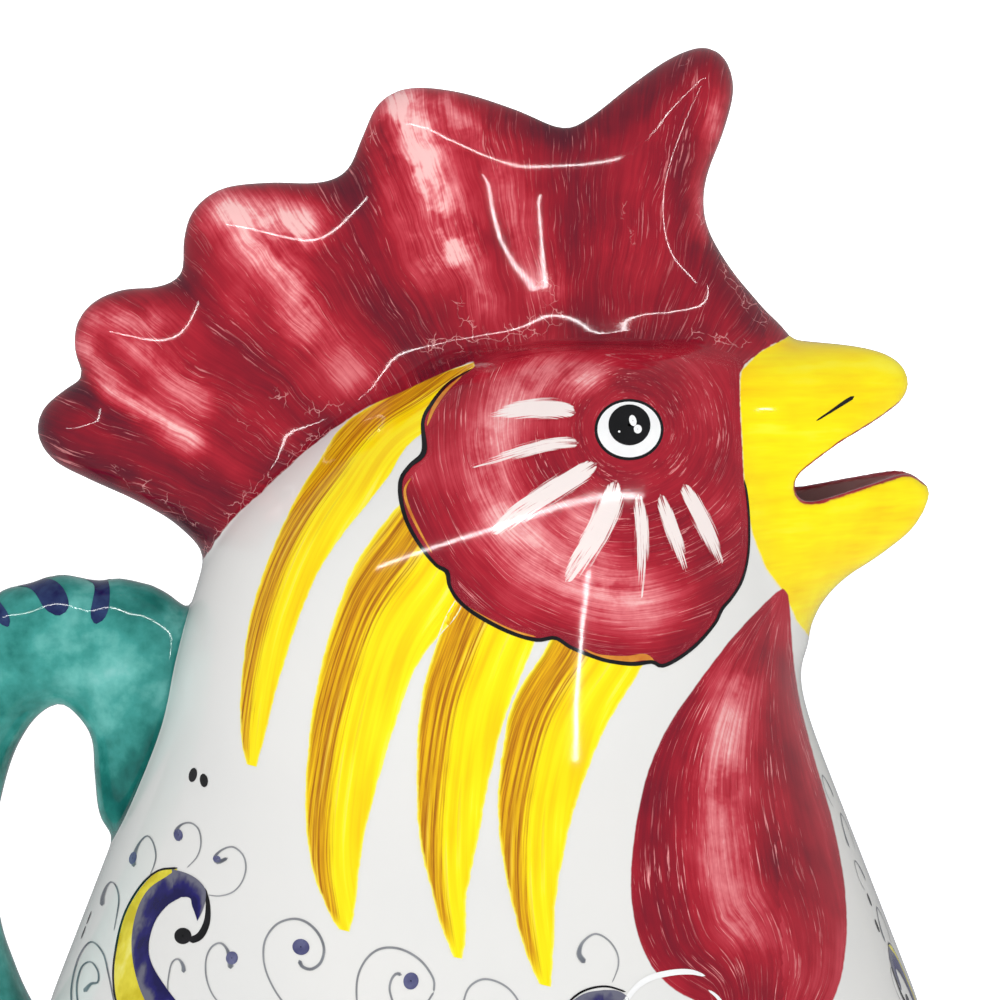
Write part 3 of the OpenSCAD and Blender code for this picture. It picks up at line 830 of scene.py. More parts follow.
def red_colour(g, mm):
    """Crimson laid on with a stiff brush over white: the marks fan along the comb, swirl round the eye and run
    down the wattle beside its edges; rubbed paint is pink in hard-edged patches, thick paint is nearly black
    red, dry bristles leave pale scratches, and the glaze has hairline cracks near the folds. Part of the pink is
    painted light on the comb's lobes, part of the dark red is painted shade in its grooves and along its crease,
    the comb is painted darker towards its rim as painted shade, and the red inside the beak is painted paler as
    painted light."""
    side = g.layer("side")
    rubbed_and_lit, thick, rim = g.split(g.layer("tone"))
    cheek, wattle, inside = g.split(g.layer("zone"))
    share, cracked, _ = g.split(g.layer("brush"))
    _, y, _ = g.split(side)
    drift = g.vector("SUBTRACT", g.noise(side, 0.055, out=1), (0.5, 0.5, 0.5))
    sway = g.vector("MULTIPLY", drift, (6, 6, 0))
    bent = g.vector("ADD", side, sway)
    fan, _ = streak_round(g, bent, COMB_POLE, 95, 0.05, False)
    less_bent = g.vector("ADD", side, g.vector("MULTIPLY", sway, (0.35, 0.35, 0)))
    swirl, eye_far = streak_round(g, less_bent, EYE_POLE, 1.5, 1.3, True)
    drop = g.pack(share * 30 + y * 0.06, y * 0.036, 0)
    on_cheek, on_wattle = cheek.between(-1.5, 1.5), wattle.between(-1, 0.5)
    way = g.mix(on_wattle, g.mix(on_cheek, fan, swirl), drop)
    coarse = g.noise(way, 0.34, 3.0, 0.6)
    fine = g.noise(way, 1.5, 3.0, 0.65)
    hair = g.noise(way, 2.6, 3.0, 0.65)
    blotch = g.noise(mm, 0.06, 3.0, 0.55)
    drawn = g.noise(way, 0.10, 3.0, 0.6)
    patch = g.noise(bent, 0.085, 4.0, 0.6) * 0.55 + drawn * 0.45
    speck = g.noise(mm, 1.5, 2.0)
    pink = rubbed_and_lit * (0.30 + 0.34 * patch.between(0.44, 0.50) + 0.26 * patch.between(0.50, 0.60) + (fine - 0.5) * 0.7)
    # painted light and shade: the pink is partly light on the comb's lobes, thick adds painted shade in the grooves
    # and along the crease, and rim is painted shade at the comb's edge
    level = (0.42 + (coarse - 0.5) * 0.26 + (fine - 0.5) * 0.26 + (blotch - 0.5) * 0.55
             + pink * (0.80 - 0.16 * on_cheek + 0.24 * speck) - thick * 0.20 - rim * 0.10)
    level = level - eye_far.between(12.0, 10.6) * 0.08 * on_cheek
    # painted light: the red inside the beak's hollow is laid much paler, though the hollow lies in shade
    level = level + on_cheek * 0.05 + inside.between(-0.5, 0.5) * 0.55
    body = g.ramp(level, (0.0, 54, 12, 32), (0.18, 98, 14, 34), (0.36, 140, 16, 36), (0.50, 168, 26, 44),
                  (0.64, 194, 58, 72), (0.82, 226, 122, 128), (1.0, 244, 190, 188))
    rubbed = g.noise(mm, 0.16, 3.0).between(0.46, 0.60)
    scratch = hair.between(0.59, 0.645) * g.noise(way, 0.21, 2.0).between(0.40, 0.52) * (0.30 + 0.70 * rubbed)
    scratch = scratch * (0.55 + 0.35 * on_cheek + 0.45 * on_wattle)
    tremble = g.vector("MULTIPLY", g.noise(mm, 0.4, 3.0, out=1), (3.2, 3.2, 3.2))
    crack = g.node("TexVoronoi", {"feature": "DISTANCE_TO_EDGE"},
                   {"Vector": g.vector("ADD", mm, tremble), "Scale": 0.30})
    crack = crack.between(0.030, 0.010) * (cracked + (g.noise(mm, 0.24, 3.0) - 0.5) * 1.5).between(0.62, 0.84)
    crack = crack * (1 - on_wattle) * (1 - on_cheek)
    pale = g.mix(scratch, body, tint(236, 150, 152))
    return g.mix(crack * 0.6, pale, tint(236, 170, 170)), level


def teal_colour(g, mm):
    """Watercolour green-blue: pools of dark and light with wandering edges."""
    pool = g.noise(mm, 0.045, 4.0, 0.55)
    grain = g.noise(mm, 0.22, 4.0, 0.6)
    level = pool * 0.75 + grain * 0.25
    return g.ramp(level, (0.32, 12, 80, 76), (0.44, 32, 118, 110), (0.53, 62, 152, 144), (0.62, 104, 184, 176),
                  (0.72, 150, 210, 206))


def yellow_colour(g, mm):
    """Strong lemon yellow, a little deeper where the level brush marks and the clouds fall together."""
    brush = g.noise(g.vector("MULTIPLY", mm, (0.06, 0.06, 0.5)), 1.0, 3.0)
    cloud = g.noise(mm, 0.06, 3.0)
    return g.ramp(cloud * 0.5 + brush * 0.5, (0.30, 244, 196, 0), (0.42, 252, 218, 0), (0.56, 255, 234, 0),
                  (0.72, 255, 242, 60))


def glazed_surface(g, mm, marks=None):
    """Fired glaze: low soft ripples and faint brush relief under a clear gloss."""
    ripple = g.noise(mm, 0.045, 2.0)
    pores = g.noise(mm, 1.1, 2.0)
    height = ripple * 0.28 + pores * 0.010
    if marks is not None:
        height = height + marks * 0.02
    bump = g.node("Bump", None, {"Strength": 0.35, "Distance": 0.001, "Height": height})
    g.set("Normal", bump)
    g.set("Roughness", 0.05 + 0.05 * g.noise(mm, 0.12, 3.0))


def painted_clay():
    """White glaze with the red, yellow and teal areas brushed over it, each up to its own uneven edge."""
    g = Glaze("painted_glaze")
    mm = g.object_place()
    red, beak, teal = g.split(g.layer("paint"))
    _, wattle, _ = g.split(g.layer("zone"))
    wobble = (g.noise(mm, 0.45, 3.0) - 0.5) * 1.1
    red_paint_light_and_shade, marks = red_colour(g, mm)
    colour = white_colour(g, mm)
    colour = g.mix((beak + wobble * 0.4).between(-0.25, 0.15), colour, yellow_colour(g, mm))
    is_red = (red + wobble * 0.5).between(-0.1, 0.12)
    is_drop = (wattle + wobble * 0.25).between(-0.1, 0.12)
    colour = g.mix(is_red.most(is_drop), colour, red_paint_light_and_shade)
    is_teal = (teal + wobble * 0.2).between(-0.1, 0.15)
    # painted shade: the teal darkens towards the edge of its area, into the fillets where the handle joins the body
    edge = (teal + (g.noise(mm, 0.3, 3.0) - 0.5) * 1.6).between(2.6, 0.6)
    teal_with_painted_shade = g.mix(edge * 0.45, teal_colour(g, mm), tint(10, 66, 62))
    colour = g.mix(is_teal, colour, teal_with_painted_shade)
    g.set("Base Color", colour)
    glazed_surface(g, mm, marks)
    return g.material


painted_glaze = painted_clay()


# the bowl under the net: outer wall down into the foot, and the floor with its rounded corner inside
heights = np.linspace(CUT_H, 7.6, 14)
bowl_outer = np.stack([body_radius(heights), heights], 1)
bowl_outer = np.concatenate([bowl_outer, arc(58.4, 6.3, 1.9, 118, 206, 8)])
inner_heights = np.linspace(15.2, CUT_H, 8)
inner = np.stack([shell_radius(inner_heights, WALL), inner_heights], 1)
corner = curve_through([(2, 11), (20, 11), (42, 11), (50, 11.3), (55.4, 12.6), tuple(inner[0])], 1.5)
bowl_inner = np.concatenate([corner[:-1], inner])
underside = np.array([[46.6, 6.05], [40, 6], [20, 6], [2, 6]])
foot = np.concatenate([[bowl_outer[-1]], arc(54.6, 1.4, 1.4, 0, -90, 8), arc(49.6, 1.6, 1.6, -90, -180, 8),
                       arc(46.4, 4.5, 1.6, 0, 80, 6)])

MEMBERS = [("belly_clay", "belly", "belly_glaze"), ("neck_clay", "neck", "neck_glaze"),
           ("head_clay", "head", "head_glaze"), ("comb_clay", "comb", "comb_glaze"),
           ("upper_beak_clay", "upper_beak", "beak_glaze"), ("lower_beak_clay", "lower_beak", "beak_glaze"),
           ("handle_clay", "handle", "handle_glaze")]
for k, (name, node, slot_name) in enumerate(MEMBERS):
    net = (points, faces[part == k], normals, [])
    if k == 0:
        net = joined([net, turned(bowl_outer), turned(bowl_inner), turned(underside)])
    make_piece(name, net, node, painted_glaze)
make_piece("foot_clay", turned(foot), "foot_ring", painted_glaze)


# ---------------------------------------------------------------- brush strokes laid on the glaze
def outer_form(points):
    """Distance to the jug's outer form."""
    return clay_parts(points)[0]


NEAREST, FARTHEST = 504.0, 612   # millimetres from the camera between which the sight lines meet the clay


def lay(pixels):
    """Points of the clay that the photograph shows at the given pixels: each sight line is walked by the
    distance to the clay until it meets it, then the point is settled onto the surface."""
    right, up = (pixels[:, :1] - MIDDLE) / FOCAL, (MIDDLE - pixels[:, 1:2]) / FOCAL
    way = AHEAD + np.array([1.0, 0, 0]) * right + UPWARD * up
    depth = np.full(len(pixels), NEAREST)
    best, best_depth = np.full(len(pixels), 1e9), depth.copy()
    for _ in range(34):
        gap = outer_form(CAMERA + way * depth[:, None])
        closer = gap < best
        best, best_depth = np.where(closer, gap, best), np.where(closer, depth, best_depth)
        depth = np.where((gap > 0.02) & (depth < FARTHEST), depth + np.maximum(gap * 0.85, 0.02), depth)
    points = CAMERA + way * np.where(best < 0.05, depth, best_depth)[:, None]
    points[:, 1] = np.minimum(points[:, 1], 0)
    return settle(outer_form, points, 2)


def wrap(places):
    """Points of the turned body at (run round the belly from the side that the photograph shows, height)."""
    turn = places[:, 0] / BELLY_R
    r = body_radius(places[:, 1])
    points = np.stack([r * np.sin(turn), -r * np.cos(turn), places[:, 1]], 1)
    high = places[:, 1] > NECK_H
    if high.any():
        points[high] = settle(outer_form, points[high], 2)
    return points


def grid_net(flat_grid, onto, lift, closed=False, along=None):
    """Net over a grid of plane points (rows along the stroke, columns across it) put onto the clay and
    lifted off it, with a layer that holds the run along the stroke, the place across it and its width."""
    n, m = flat_grid.shape[:2]
    points = onto(flat_grid.reshape(-1, 2))
    slope = slope_of(outer_form, points)
    slope /= np.maximum(np.linalg.norm(slope, axis=1, keepdims=True), 1e-9)
    index = np.arange(n * m).reshape(n, m)
    if closed:
        index = np.concatenate([index, index[:, :1]], 1)
    quad = np.stack([index[:-1, :-1], index[1:, :-1], index[1:, 1:], index[:-1, 1:]], -1).reshape(-1, 4)
    a, b, c = (points[quad[:, k]] for k in (0, 1, 2))
    flip = (np.cross(b - a, c - a) * slope[quad[:, 0]]).sum(1).sum() < 0
    if flip:
        quad = quad[:, ::-1]
    caps = [index[0, :-1][::-1 if not flip else 1].tolist()] if closed else []
    cube = points.reshape(n, m, 3)
    run = along
    if run is None:
        run = np.concatenate([[0], np.cumsum(np.linalg.norm(np.diff(cube[:, m // 2], axis=0), axis=1))])
    across = np.linspace(-1, 1, m)
    size = np.linalg.norm(cube[:, -1] - cube[:, 0], axis=1)
    layer = np.stack(np.broadcast_arrays(run[:, None], across[None], size[:, None]), -1).reshape(-1, 3)
    return points + slope * lift, quad, slope, caps, layer


def ribbon(line, onto=lay, lift=0.06, columns=3, step=3.0):
    """A brush line: (place, place, half width) stations on a smooth curve, with round ends, spread to both
    sides of it square to its way."""
    p = curve_through(line, step)
    way = np.gradient(p[:, :2], axis=0)
    way /= np.maximum(np.linalg.norm(way, axis=1, keepdims=True), 1e-9)
    run = run_along(p)
    half = np.maximum(p[:, 2], 0.05)
    ends = np.minimum(np.minimum(run, run[-1] - run) / half, 1)
    half = half * np.sqrt(np.maximum(1 - (1 - ends) ** 2, 0.02))
    square = np.stack([-way[:, 1], way[:, 0]], 1)
    grid = p[:, None, :2] + square[:, None] * half[:, None, None] * np.linspace(-1, 1, columns)[None, :, None]
    return grid_net(grid, onto, lift)


def spread(left, right, columns):
    """Plane grid between two edges with the same number of points, in even steps from one to the other."""
    share = np.linspace(0, 1, columns)[None, :, None]
    return left[:, None] * (1 - share) + right[:, None] * share


def between(left, right, onto=lay, lift=0.06, rows=60, columns=13):
    """A filled stroke between its two edges, each a smooth curve taken at even shares of its length."""
    edges = []
    for edge in (left, right):
        p = curve_through(edge, 2)
        at = np.linspace(0, len(p) - 1, rows)
        edges.append(np.stack([np.interp(at, np.arange(len(p)), p[:, k]) for k in (0, 1)], 1))
    return grid_net(spread(*edges, columns), onto, lift)


def spot(centre, wide, high, lean=0.0, onto=lay, lift=0.06, sides=36):
    """A filled oval: rings from near its centre to its rim, closed in the middle by one flat face."""
    turn = np.arange(sides) / sides * 2 * np.pi
    c, s = math.cos(math.radians(lean)), math.sin(math.radians(lean))
    x, y = wide * np.cos(turn), high * np.sin(turn)
    rim = np.stack([x * c - y * s, x * s + y * c], 1)
    rings = 5
    grid = np.array(centre) + rim[None] * np.linspace(0.08, 1, rings)[:, None, None]
    return grid_net(grid, onto, lift, closed=True, along=np.linspace(0, 1, rings))


def lay_strokes(name, strokes, glaze_name, colour_of, both_sides=True, over_paint=False):
    """One object of many strokes, on the side that the photograph shows and mirrored on the other side."""
    glaze = stroke_glaze(glaze_name, colour_of)
    nets = list(strokes)
    if both_sides:
        nets += [(q * [1, -1, 1], f[:, ::-1], n * [1, -1, 1], [cap[::-1] for cap in caps], layer)
                 for q, f, n, caps, layer in strokes]
    points, faces, normals, caps = joined(nets)
    layers = paint_layers(points) if over_paint else {}
    layers["stroke"] = np.concatenate([net[4] for net in nets])
    make_piece(name, (points, faces, normals, caps), None, glaze, layers)


def stroke_glaze(name, colour_of):
    """A glaze for strokes: colour_of gives its colour from the place in millimetres, and from the run along a
    stroke, the place across it (-1 to 1) and its width, as far as it needs them."""
    g = Glaze(name)
    mm = g.object_place()
    along, across, size = g.split(g.layer("stroke"))
    g.set("Base Color", colour_of(g, mm, along, across, size))
    glazed_surface(g, mm)
    return g.material


def feather_colour(g, mm, along, across, size):
    """Yellow laid over ochre: brown bristle lines on the left third, clear yellow to the right with watery
    light streaks, and a pale bleeding edge; the crimson cheek and comb lie over its root."""
    side_run = across * size * 0.5
    lines = g.noise(g.pack(along * 0.030, side_run * 1.5, 0), 1.0, 4.0, 0.68)
    broad = g.noise(g.pack(along * 0.022, side_run * 0.42, 5.1), 1.0, 2.0)
    drift = g.noise(g.pack(along * 0.05, across * 1.2, 3.7), 1.0, 2.0)
    place = across + (drift - 0.5) * 0.5 + (lines - 0.5) * 0.7
    ochre = place.between(-0.05, -0.30) * across.between(-0.99, -0.86) * size.between(2.6, 5.0)
    stray = (broad.between(0.56, 0.62) * lines.between(0.48, 0.6)) * across.between(0.75, 0.2) * 0.75
    ochre = ochre.most(stray)
    yellow = g.ramp(broad * 0.55 + lines * 0.2 + drift * 0.25, (0.36, 244, 196, 0), (0.47, 252, 222, 0),
                    (0.56, 255, 236, 14), (0.66, 255, 246, 120))
    brown = g.ramp(lines, (0.30, 132, 74, 6), (0.42, 178, 108, 8), (0.53, 212, 146, 14), (0.66, 240, 190, 20))
    colour = g.mix(ochre * (0.72 + 0.28 * lines.between(0.6, 0.4)), yellow, brown)
    edge = (1 - abs(across)) * size * 0.5 + (g.noise(mm, 0.5, 3.0) - 0.5) * 0.7
    colour = g.mix(edge.between(0.62, 0.25) * 0.85, colour, tint(250, 240, 90))
    colour = g.mix(edge.between(0.26, 0.0), colour, white_colour(g, mm))
    red, _, _ = g.split(g.layer("paint"))
    red_paint_light_and_shade, _ = red_colour(g, mm)
    return g.mix(red.between(-0.1, 0.12), colour, red_paint_light_and_shade)


def dry_white_colour(g, mm, along, across, size):
    """White dragged nearly dry over the red: dense at the start, then broken into bristle lines."""
    red_paint_light_and_shade, _ = red_colour(g, mm)
    bristle = g.noise(g.pack(along * 0.085, across * size * 1.35, 1.3), 1.0, 4.0, 0.66)
    edge = 1 - abs(across)
    cover = bristle + edge.between(0.0, 0.55) * 0.34 + size.between(2.0, 5.2) * 0.16 - 0.30
    cover = (cover - along.between(3.0, 15.0) * 0.05).between(0.44, 0.53)
    return g.mix(cover * 0.94, red_paint_light_and_shade, tint(244, 234, 230))


def flat_colour(low, high):
    """A paint that drifts softly between two nearly equal colours."""
    def colour(g, mm, along, across, size):
        return g.mix(g.noise(mm, 0.35, 3.0).between(0.3, 0.7), tint(*low), tint(*high))
    return colour


def tendril_colour(g, mm, along, across, size):
    """Thin grey-blue line that pales where the brush lifts."""
    wash = g.noise(mm, 0.30, 2.0).between(0.35, 0.65)
    ink = g.mix(wash, tint(78, 82, 92), tint(112, 116, 124))
    strength = size.between(0.05, 0.75) * 0.35 + 0.62
    edge = abs(across).between(1.0, 0.55)
    return g.mix(strength * (0.55 + 0.45 * edge), white_colour(g, mm), ink)


def cobalt_colour(g, mm, along, across, size):
    """Cobalt pooled dark on one side and thinned to grey violet on the other."""
    pool = g.noise(mm, 0.22, 3.0) + across * 0.22
    return g.ramp(pool, (0.30, 104, 104, 120), (0.42, 66, 64, 100), (0.52, 28, 22, 100), (0.70, 14, 8, 74))


def scroll_yellow_colour(g, mm, along, across, size):
    """Thin greenish yellow, paler where the wash ran out."""
    wash = g.noise(mm, 0.20, 3.0)
    return g.ramp(wash, (0.35, 206, 188, 28), (0.55, 230, 216, 60), (0.72, 242, 234, 120))


# strokes in the photograph's pixels: feathers by their left and right edge, the others by column, row and half
# width from station to station
FEATHERS = [
    ([(474, 362), (432, 376), (388, 396), (344, 424), (318, 462), (299, 492), (280, 530), (264, 570), (251, 612),
      (244, 652), (240, 700), (241, 738), (246, 764)],
     [(476, 372), (458, 398), (436, 424), (408, 446), (388, 478), (368, 504), (343, 535), (319, 572), (302, 612),
      (289, 650), (277, 690), (265, 738), (257, 767)]),
    ([(432, 478), (396, 508), (371, 539), (350, 574), (336, 612), (324, 652), (315, 692), (309, 732), (305, 790),
      (306, 830), (312, 870), (326, 908), (338, 929)],
     [(470, 560), (466, 590), (458, 614), (438, 638), (418, 666), (405, 697), (393, 734), (382, 770), (372, 806),
      (364, 842), (359, 878), (356, 908), (350, 932)]),
    ([(470, 580), (448, 612), (435, 645), (424, 682), (418, 722), (416, 762), (416, 800), (418, 834), (424, 866),
      (432, 896), (440, 925), (448, 946), (453, 957)],
     [(545, 610), (537, 640), (522, 676), (507, 714), (496, 755), (487, 795), (479, 838), (472, 872), (467, 900),
      (467, 925), (466, 942), (465, 950), (463, 959)]),
    ([(560, 620), (543, 652), (524, 680), (510, 708), (503, 740), (499, 770), (497, 805), (499, 838), (504, 872),
      (511, 905), (521, 940), (532, 970), (539, 984)],
     [(655, 640), (642, 668), (622, 700), (602, 736), (588, 772), (576, 806), (567, 842), (560, 878), (556, 908),
      (555, 935), (554, 955), (553, 972), (551, 987)])]
RAYS = [[(576, 413, 7), (556, 409, 11), (532, 409, 12), (508, 412, 9), (488, 416, 3)],
        [(579, 443, 6), (552, 444, 8), (522, 451, 9), (496, 459, 7), (470, 467, 2.5)],
        [(597, 463, 6), (577, 476, 12.5), (548, 494, 13.5), (520, 512, 13), (492, 534, 8)],
        [(616, 480, 6), (610, 505, 14.5), (598, 532, 16), (583, 556, 14), (566, 582, 8)],
        [(638, 494, 5), (641, 520, 8.5), (642, 556, 9), (640, 600, 4)],
        [(660, 494, 5), (668, 518, 9), (677, 544, 9), (686, 572, 4)],
        [(683, 484, 6), (695, 506, 10), (708, 532, 10.5), (722, 566, 5)]]
OUTLINE_WIDTHS = [0.9, 1.6, 2.2, 2.2, 3.4, 2.6, 2.6, 2.6, 2.5, 2.4, 2.2, 3.0, 2.2, 2.3, 2.6, 2.5, 2.4, 2.4, 2.3, 2.4,
                  2.4, 2.6, 2.4, 2.4, 2.2, 2.1, 1.9, 2.0, 1.8, 1.6, 1.4, 1.3, 1.3, 0.9]
OUTLINE = [(*q, 0.80 * w) for q, w in zip(CHEEK, OUTLINE_WIDTHS)]
TENDRILS = [
    [(134, 867, 2.6), (134, 857, 2.4), (139, 844, 1.2), (147, 836, 0.9), (153, 842, 0.9), (156, 855, 0.8),
     (154, 866, 0.7), (150, 875, 0.5)],
    [(180, 841, 3.4), (176, 833, 2.6), (181, 825, 1.2), (191, 823, 1), (199, 830, 0.9), (201, 844, 0.8),
     (197, 857, 0.7), (187, 868, 0.5)],
    [(228, 858, 1.6), (218, 862, 2.4), (215, 857, 1.7), (222, 850, 1.1), (233, 847, 1), (243, 855, 0.9),
     (246, 868, 0.9), (242, 882, 0.8), (233, 892, 0.8), (220, 896, 0.7), (208, 895, 0.5)],
    [(102, 906, 2.5), (103, 896, 2.0), (107, 886, 1.2), (112, 882, 0.9), (117, 888, 0.9), (119, 900, 0.9),
     (117, 915, 0.7), (114, 931, 0.5)],
    [(84, 992, 2.8), (91, 984, 1.6), (98, 982, 1.1), (98, 971, 1), (91, 962, 1), (82, 967, 1), (77, 985, 1),
     (79, 1006, 1), (88, 1022, 0.8), (102, 1028, 0.5)],
    [(86, 1046, 0.5), (76, 1028, 0.9), (72, 1006, 1), (72, 984, 1), (79, 957, 1), (91, 942, 1), (103, 953, 1),
     (109, 976, 0.9), (115, 1004, 0.8), (124, 1030, 0.5)],
    [(184, 973, 2.6), (183, 965, 1.9), (178, 959, 1.1), (172, 963, 0.9), (169, 975, 0.8), (168, 990, 0.7),
     (172, 1006, 0.6), (182, 1018, 0.4)],
    [(231, 969, 3.2), (230, 960, 2.8), (227, 949, 1.6), (220, 943, 1.1), (211, 948, 1), (206, 961, 0.9),
     (207, 980, 0.9), (215, 998, 0.8), (230, 1010, 0.6), (246, 1010, 0.4)],
    [(299, 960, 2.4), (303, 967, 1.8), (312, 969, 1.7), (321, 962, 1.6), (324, 948, 1.5), (318, 933, 1.5),
     (306, 922, 1.4), (292, 919, 1.3), (276, 925, 1.2), (265, 941, 1.1), (264, 962, 1), (271, 983, 1), (285, 1004, 1),
     (306, 1020, 0.9), (332, 1024, 0.7), (352, 1018, 0.4)],
    [(402, 975, 2.2), (396, 974, 1.6), (391, 981, 1.3), (390, 992, 1.2), (396, 1006, 1.1), (410, 1012, 1),
     (424, 1006, 1), (434, 992, 1.1)],
    [(392, 1050, 0.4), (372, 1036, 0.8), (359, 1012, 1), (357, 982, 1.1), (365, 961, 1.2), (380, 949, 1.3),
     (400, 949, 1.3), (420, 960, 1.3), (433, 978, 1.2), (434, 992, 1.1)],
    [(494, 1048, 0.5), (474, 1036, 0.9), (463, 1016, 1), (467, 991, 1.1), (480, 980, 1.2), (495, 981, 1.1),
     (510, 990, 1.1), (520, 1006, 1), (517, 1022, 1), (504, 1028, 1.2), (495, 1020, 1.8), (497, 1012, 2.6)],
    [(585, 963, 3.2), (579, 954, 2.8), (583, 942, 1.5), (595, 934, 1.1), (608, 940, 1), (617, 953, 0.9),
     (618, 967, 0.8), (612, 983, 0.5)]]

# what the seen scroll and its repeats round the belly have in common
SCROLL_OUTER = [(177, 869), (158, 872), (141, 888), (125, 916), (116.5, 952)]
SCROLL_MIDDLE = [(178, 872), (168, 876), (150, 888), (138, 908), (132, 936)]
COBALT_OUTER = [(176, 870), (166, 877), (149, 889), (138, 908), (132, 936)]
COBALT_INNER = [(190, 892), (180, 898), (167, 906), (155, 922), (149, 944), (152, 964)]
SCROLL_LINE = [(178, 868, 1.1), (158, 871, 1.0), (140, 887, 1.0), (124, 916, 1.0), (115.5, 952, 1.0)]
HOOK_OUTER = [(172, 869), (186, 873), (197, 879), (205, 888), (206, 898), (203, 910), (198, 920)]
HOOK_INNER = [(174, 893), (181, 897), (187, 897), (191, 899), (192, 905), (195, 913), (197.5, 921)]
HOOK_LINE = [(205, 888, 1.0), (208, 904, 2.2), (207, 922, 3.2), (200, 936, 3.8), (189, 941, 3.4)]

feathers = [between(left, right, lift=0.05, rows=64, columns=15) for left, right in FEATHERS]
rays = [ribbon(line, lift=0.05, columns=7, step=4) for line in RAYS]
black = [ribbon(OUTLINE, lift=0.09, columns=3, step=4), spot((629, 429.7), 34.5, 30.7, lift=0.05, sides=48),
         ribbon([(816, 421, 0.7), (830, 412, 1.2), (845, 402, 1.9), (854, 396.5, 1.7)]),
         spot((193, 775), 4.0, 7.2, 12), spot((204, 780.5), 4.0, 6.8, -8), spot((183, 936), 8.6, 8.2),
         ribbon(HOOK_LINE),
         ribbon([*SCROLL_LINE, (113.5, 981, 0.9), (119, 1008, 0.9), (141, 1039, 0.8), (180, 1060, 0.6)], lift=0.1),
         ribbon([(626, 1016, 1.0), (624, 1026, 2.4), (614, 1032, 3.0), (604, 1028, 2.4)]),
         spot((603, 1026), 6.5, 6.2),
         ribbon([(558, 1044, 0.8), (561, 1016, 1.0), (571, 1000, 1.1), (586, 990, 1.1), (606, 986.5, 1.0),
                 (626, 992, 0.8)], lift=0.1)]
pupils = [spot((629.3, 425.2), 21.0, 20.4, lift=0.13)]
# the eye's white, three small white spots on the pupil as painted highlights, and white curls over the wattle
whites_and_eye_glints = [spot((629, 429.7), 31.6, 27.8, lift=0.09, sides=48), spot((632.6, 421), 3.6, 5.6, -14, lift=0.17, sides=24),
          spot((637.5, 429.5), 4.0, 4.4, lift=0.17, sides=24), spot((619, 432), 1.2, 1.2, lift=0.17, sides=16),
          ribbon([(612, 1034, 1.2), (619, 1014, 2.2), (632, 992, 2.6), (648, 979, 3.0), (670, 973, 3.0),
                  (690, 972, 2.6), (705, 976, 1.2)], lift=0.08),
          ribbon([(708, 990, 0.8), (716, 996, 1.6), (724, 1006, 1.4), (730, 1018, 0.8)], lift=0.08)]
ochre = [ribbon(line, lift=0.07, columns=5) for line in (
    [(411, 478, 0.5), (405, 490, 1.3), (408, 506, 1.5), (419, 530, 1.2), (432, 553, 0.6)],
    [(449, 588, 0.5), (459, 602, 1.6), (479, 615, 1.8), (510, 630, 1.5), (536, 637, 0.6)],
    [(584, 649, 0.5), (600, 656, 1.5), (626, 659, 3.0), (644, 657, 3.2), (654, 661, 1.2)],
    [(462, 376, 0.5), (446, 391, 1.6), (434, 408, 1.9), (427, 426, 0.7)])]
blue_dots = [spot(middle, wide, high, lean, sides=sides) for middle, wide, high, lean, sides in (
    ((301, 947), 8.6, 8.0, 20, 28), ((411, 981), 7.6, 8.6, 10, 28), ((232, 958), 6.0, 6.6, 10, 28),
    ((133, 858), 3.6, 6.4, 16, 20), ((178.5, 835), 4.4, 6.0, -8, 20), ((217, 859), 4.0, 3.4, 20, 20))]
scroll_yellow = [between([*SCROLL_OUTER, (114.5, 981), (120, 1008), (142, 1038), (180, 1058), (222, 1062)],
                         [*SCROLL_MIDDLE, (133.5, 964), (143, 996), (162, 1026), (194, 1050), (222, 1060)],
                         columns=7)]
cobalt = [between([*COBALT_OUTER, (133.5, 964), (143, 996), (162, 1026), (194, 1050), (222, 1060)],
                   [*COBALT_INNER, (168, 990), (188, 1014), (210, 1036), (232, 1054), (240, 1062)],
                   lift=0.07, columns=9),
          between(HOOK_OUTER, HOOK_INNER, lift=0.08, rows=30, columns=7),
          between([(560, 1040), (563, 1018), (572, 1002), (586, 993), (604, 990)],
                  [(572, 1046), (584, 1028), (598, 1014), (616, 1004), (630, 998)],
                  rows=30, columns=9),
          between([(604, 990), (618, 991), (628, 998), (630, 1010)],
                  [(602, 1012), (609, 1011), (614, 1013), (617, 1018)], lift=0.08, rows=20, columns=7)]
tendrils = [ribbon(line, columns=3, step=2.2) for line in TENDRILS]


# the part below the photograph: scrolls and tendrils of the same hand repeated round the belly, and foot bands
SCROLL_AT = (160, 935)   # the seen scroll's middle, about which strokes are moved and turned


def moved_lines(lines, at, flip, size):
    """Stroke stations given in pixels about the seen scroll's middle, moved to a place on the belly: flip turns
    them left to right, and size is millimetres per pixel."""
    out = []
    for line in lines:
        q = np.array(line, float)
        q[:, 0] = at[0] + (q[:, 0] - SCROLL_AT[0]) * size * (-1 if flip else 1)
        q[:, 1] = at[1] - (q[:, 1] - SCROLL_AT[1]) * size
        if q.shape[1] > 2:
            q[:, 2] = q[:, 2] * size
        out.append(q)
    return out


def on_body(column, row):
    """Run round the belly and height of a mark that the photograph shows near the jug's outline."""
    z = (TABLE_ROW - row) * MM_PER_PIXEL
    share = (column - AXIS_COLUMN) * MM_PER_PIXEL / float(body_radius(np.array(z)))
    return math.asin(max(-0.972, min(0.972, share))) * BELLY_R, z


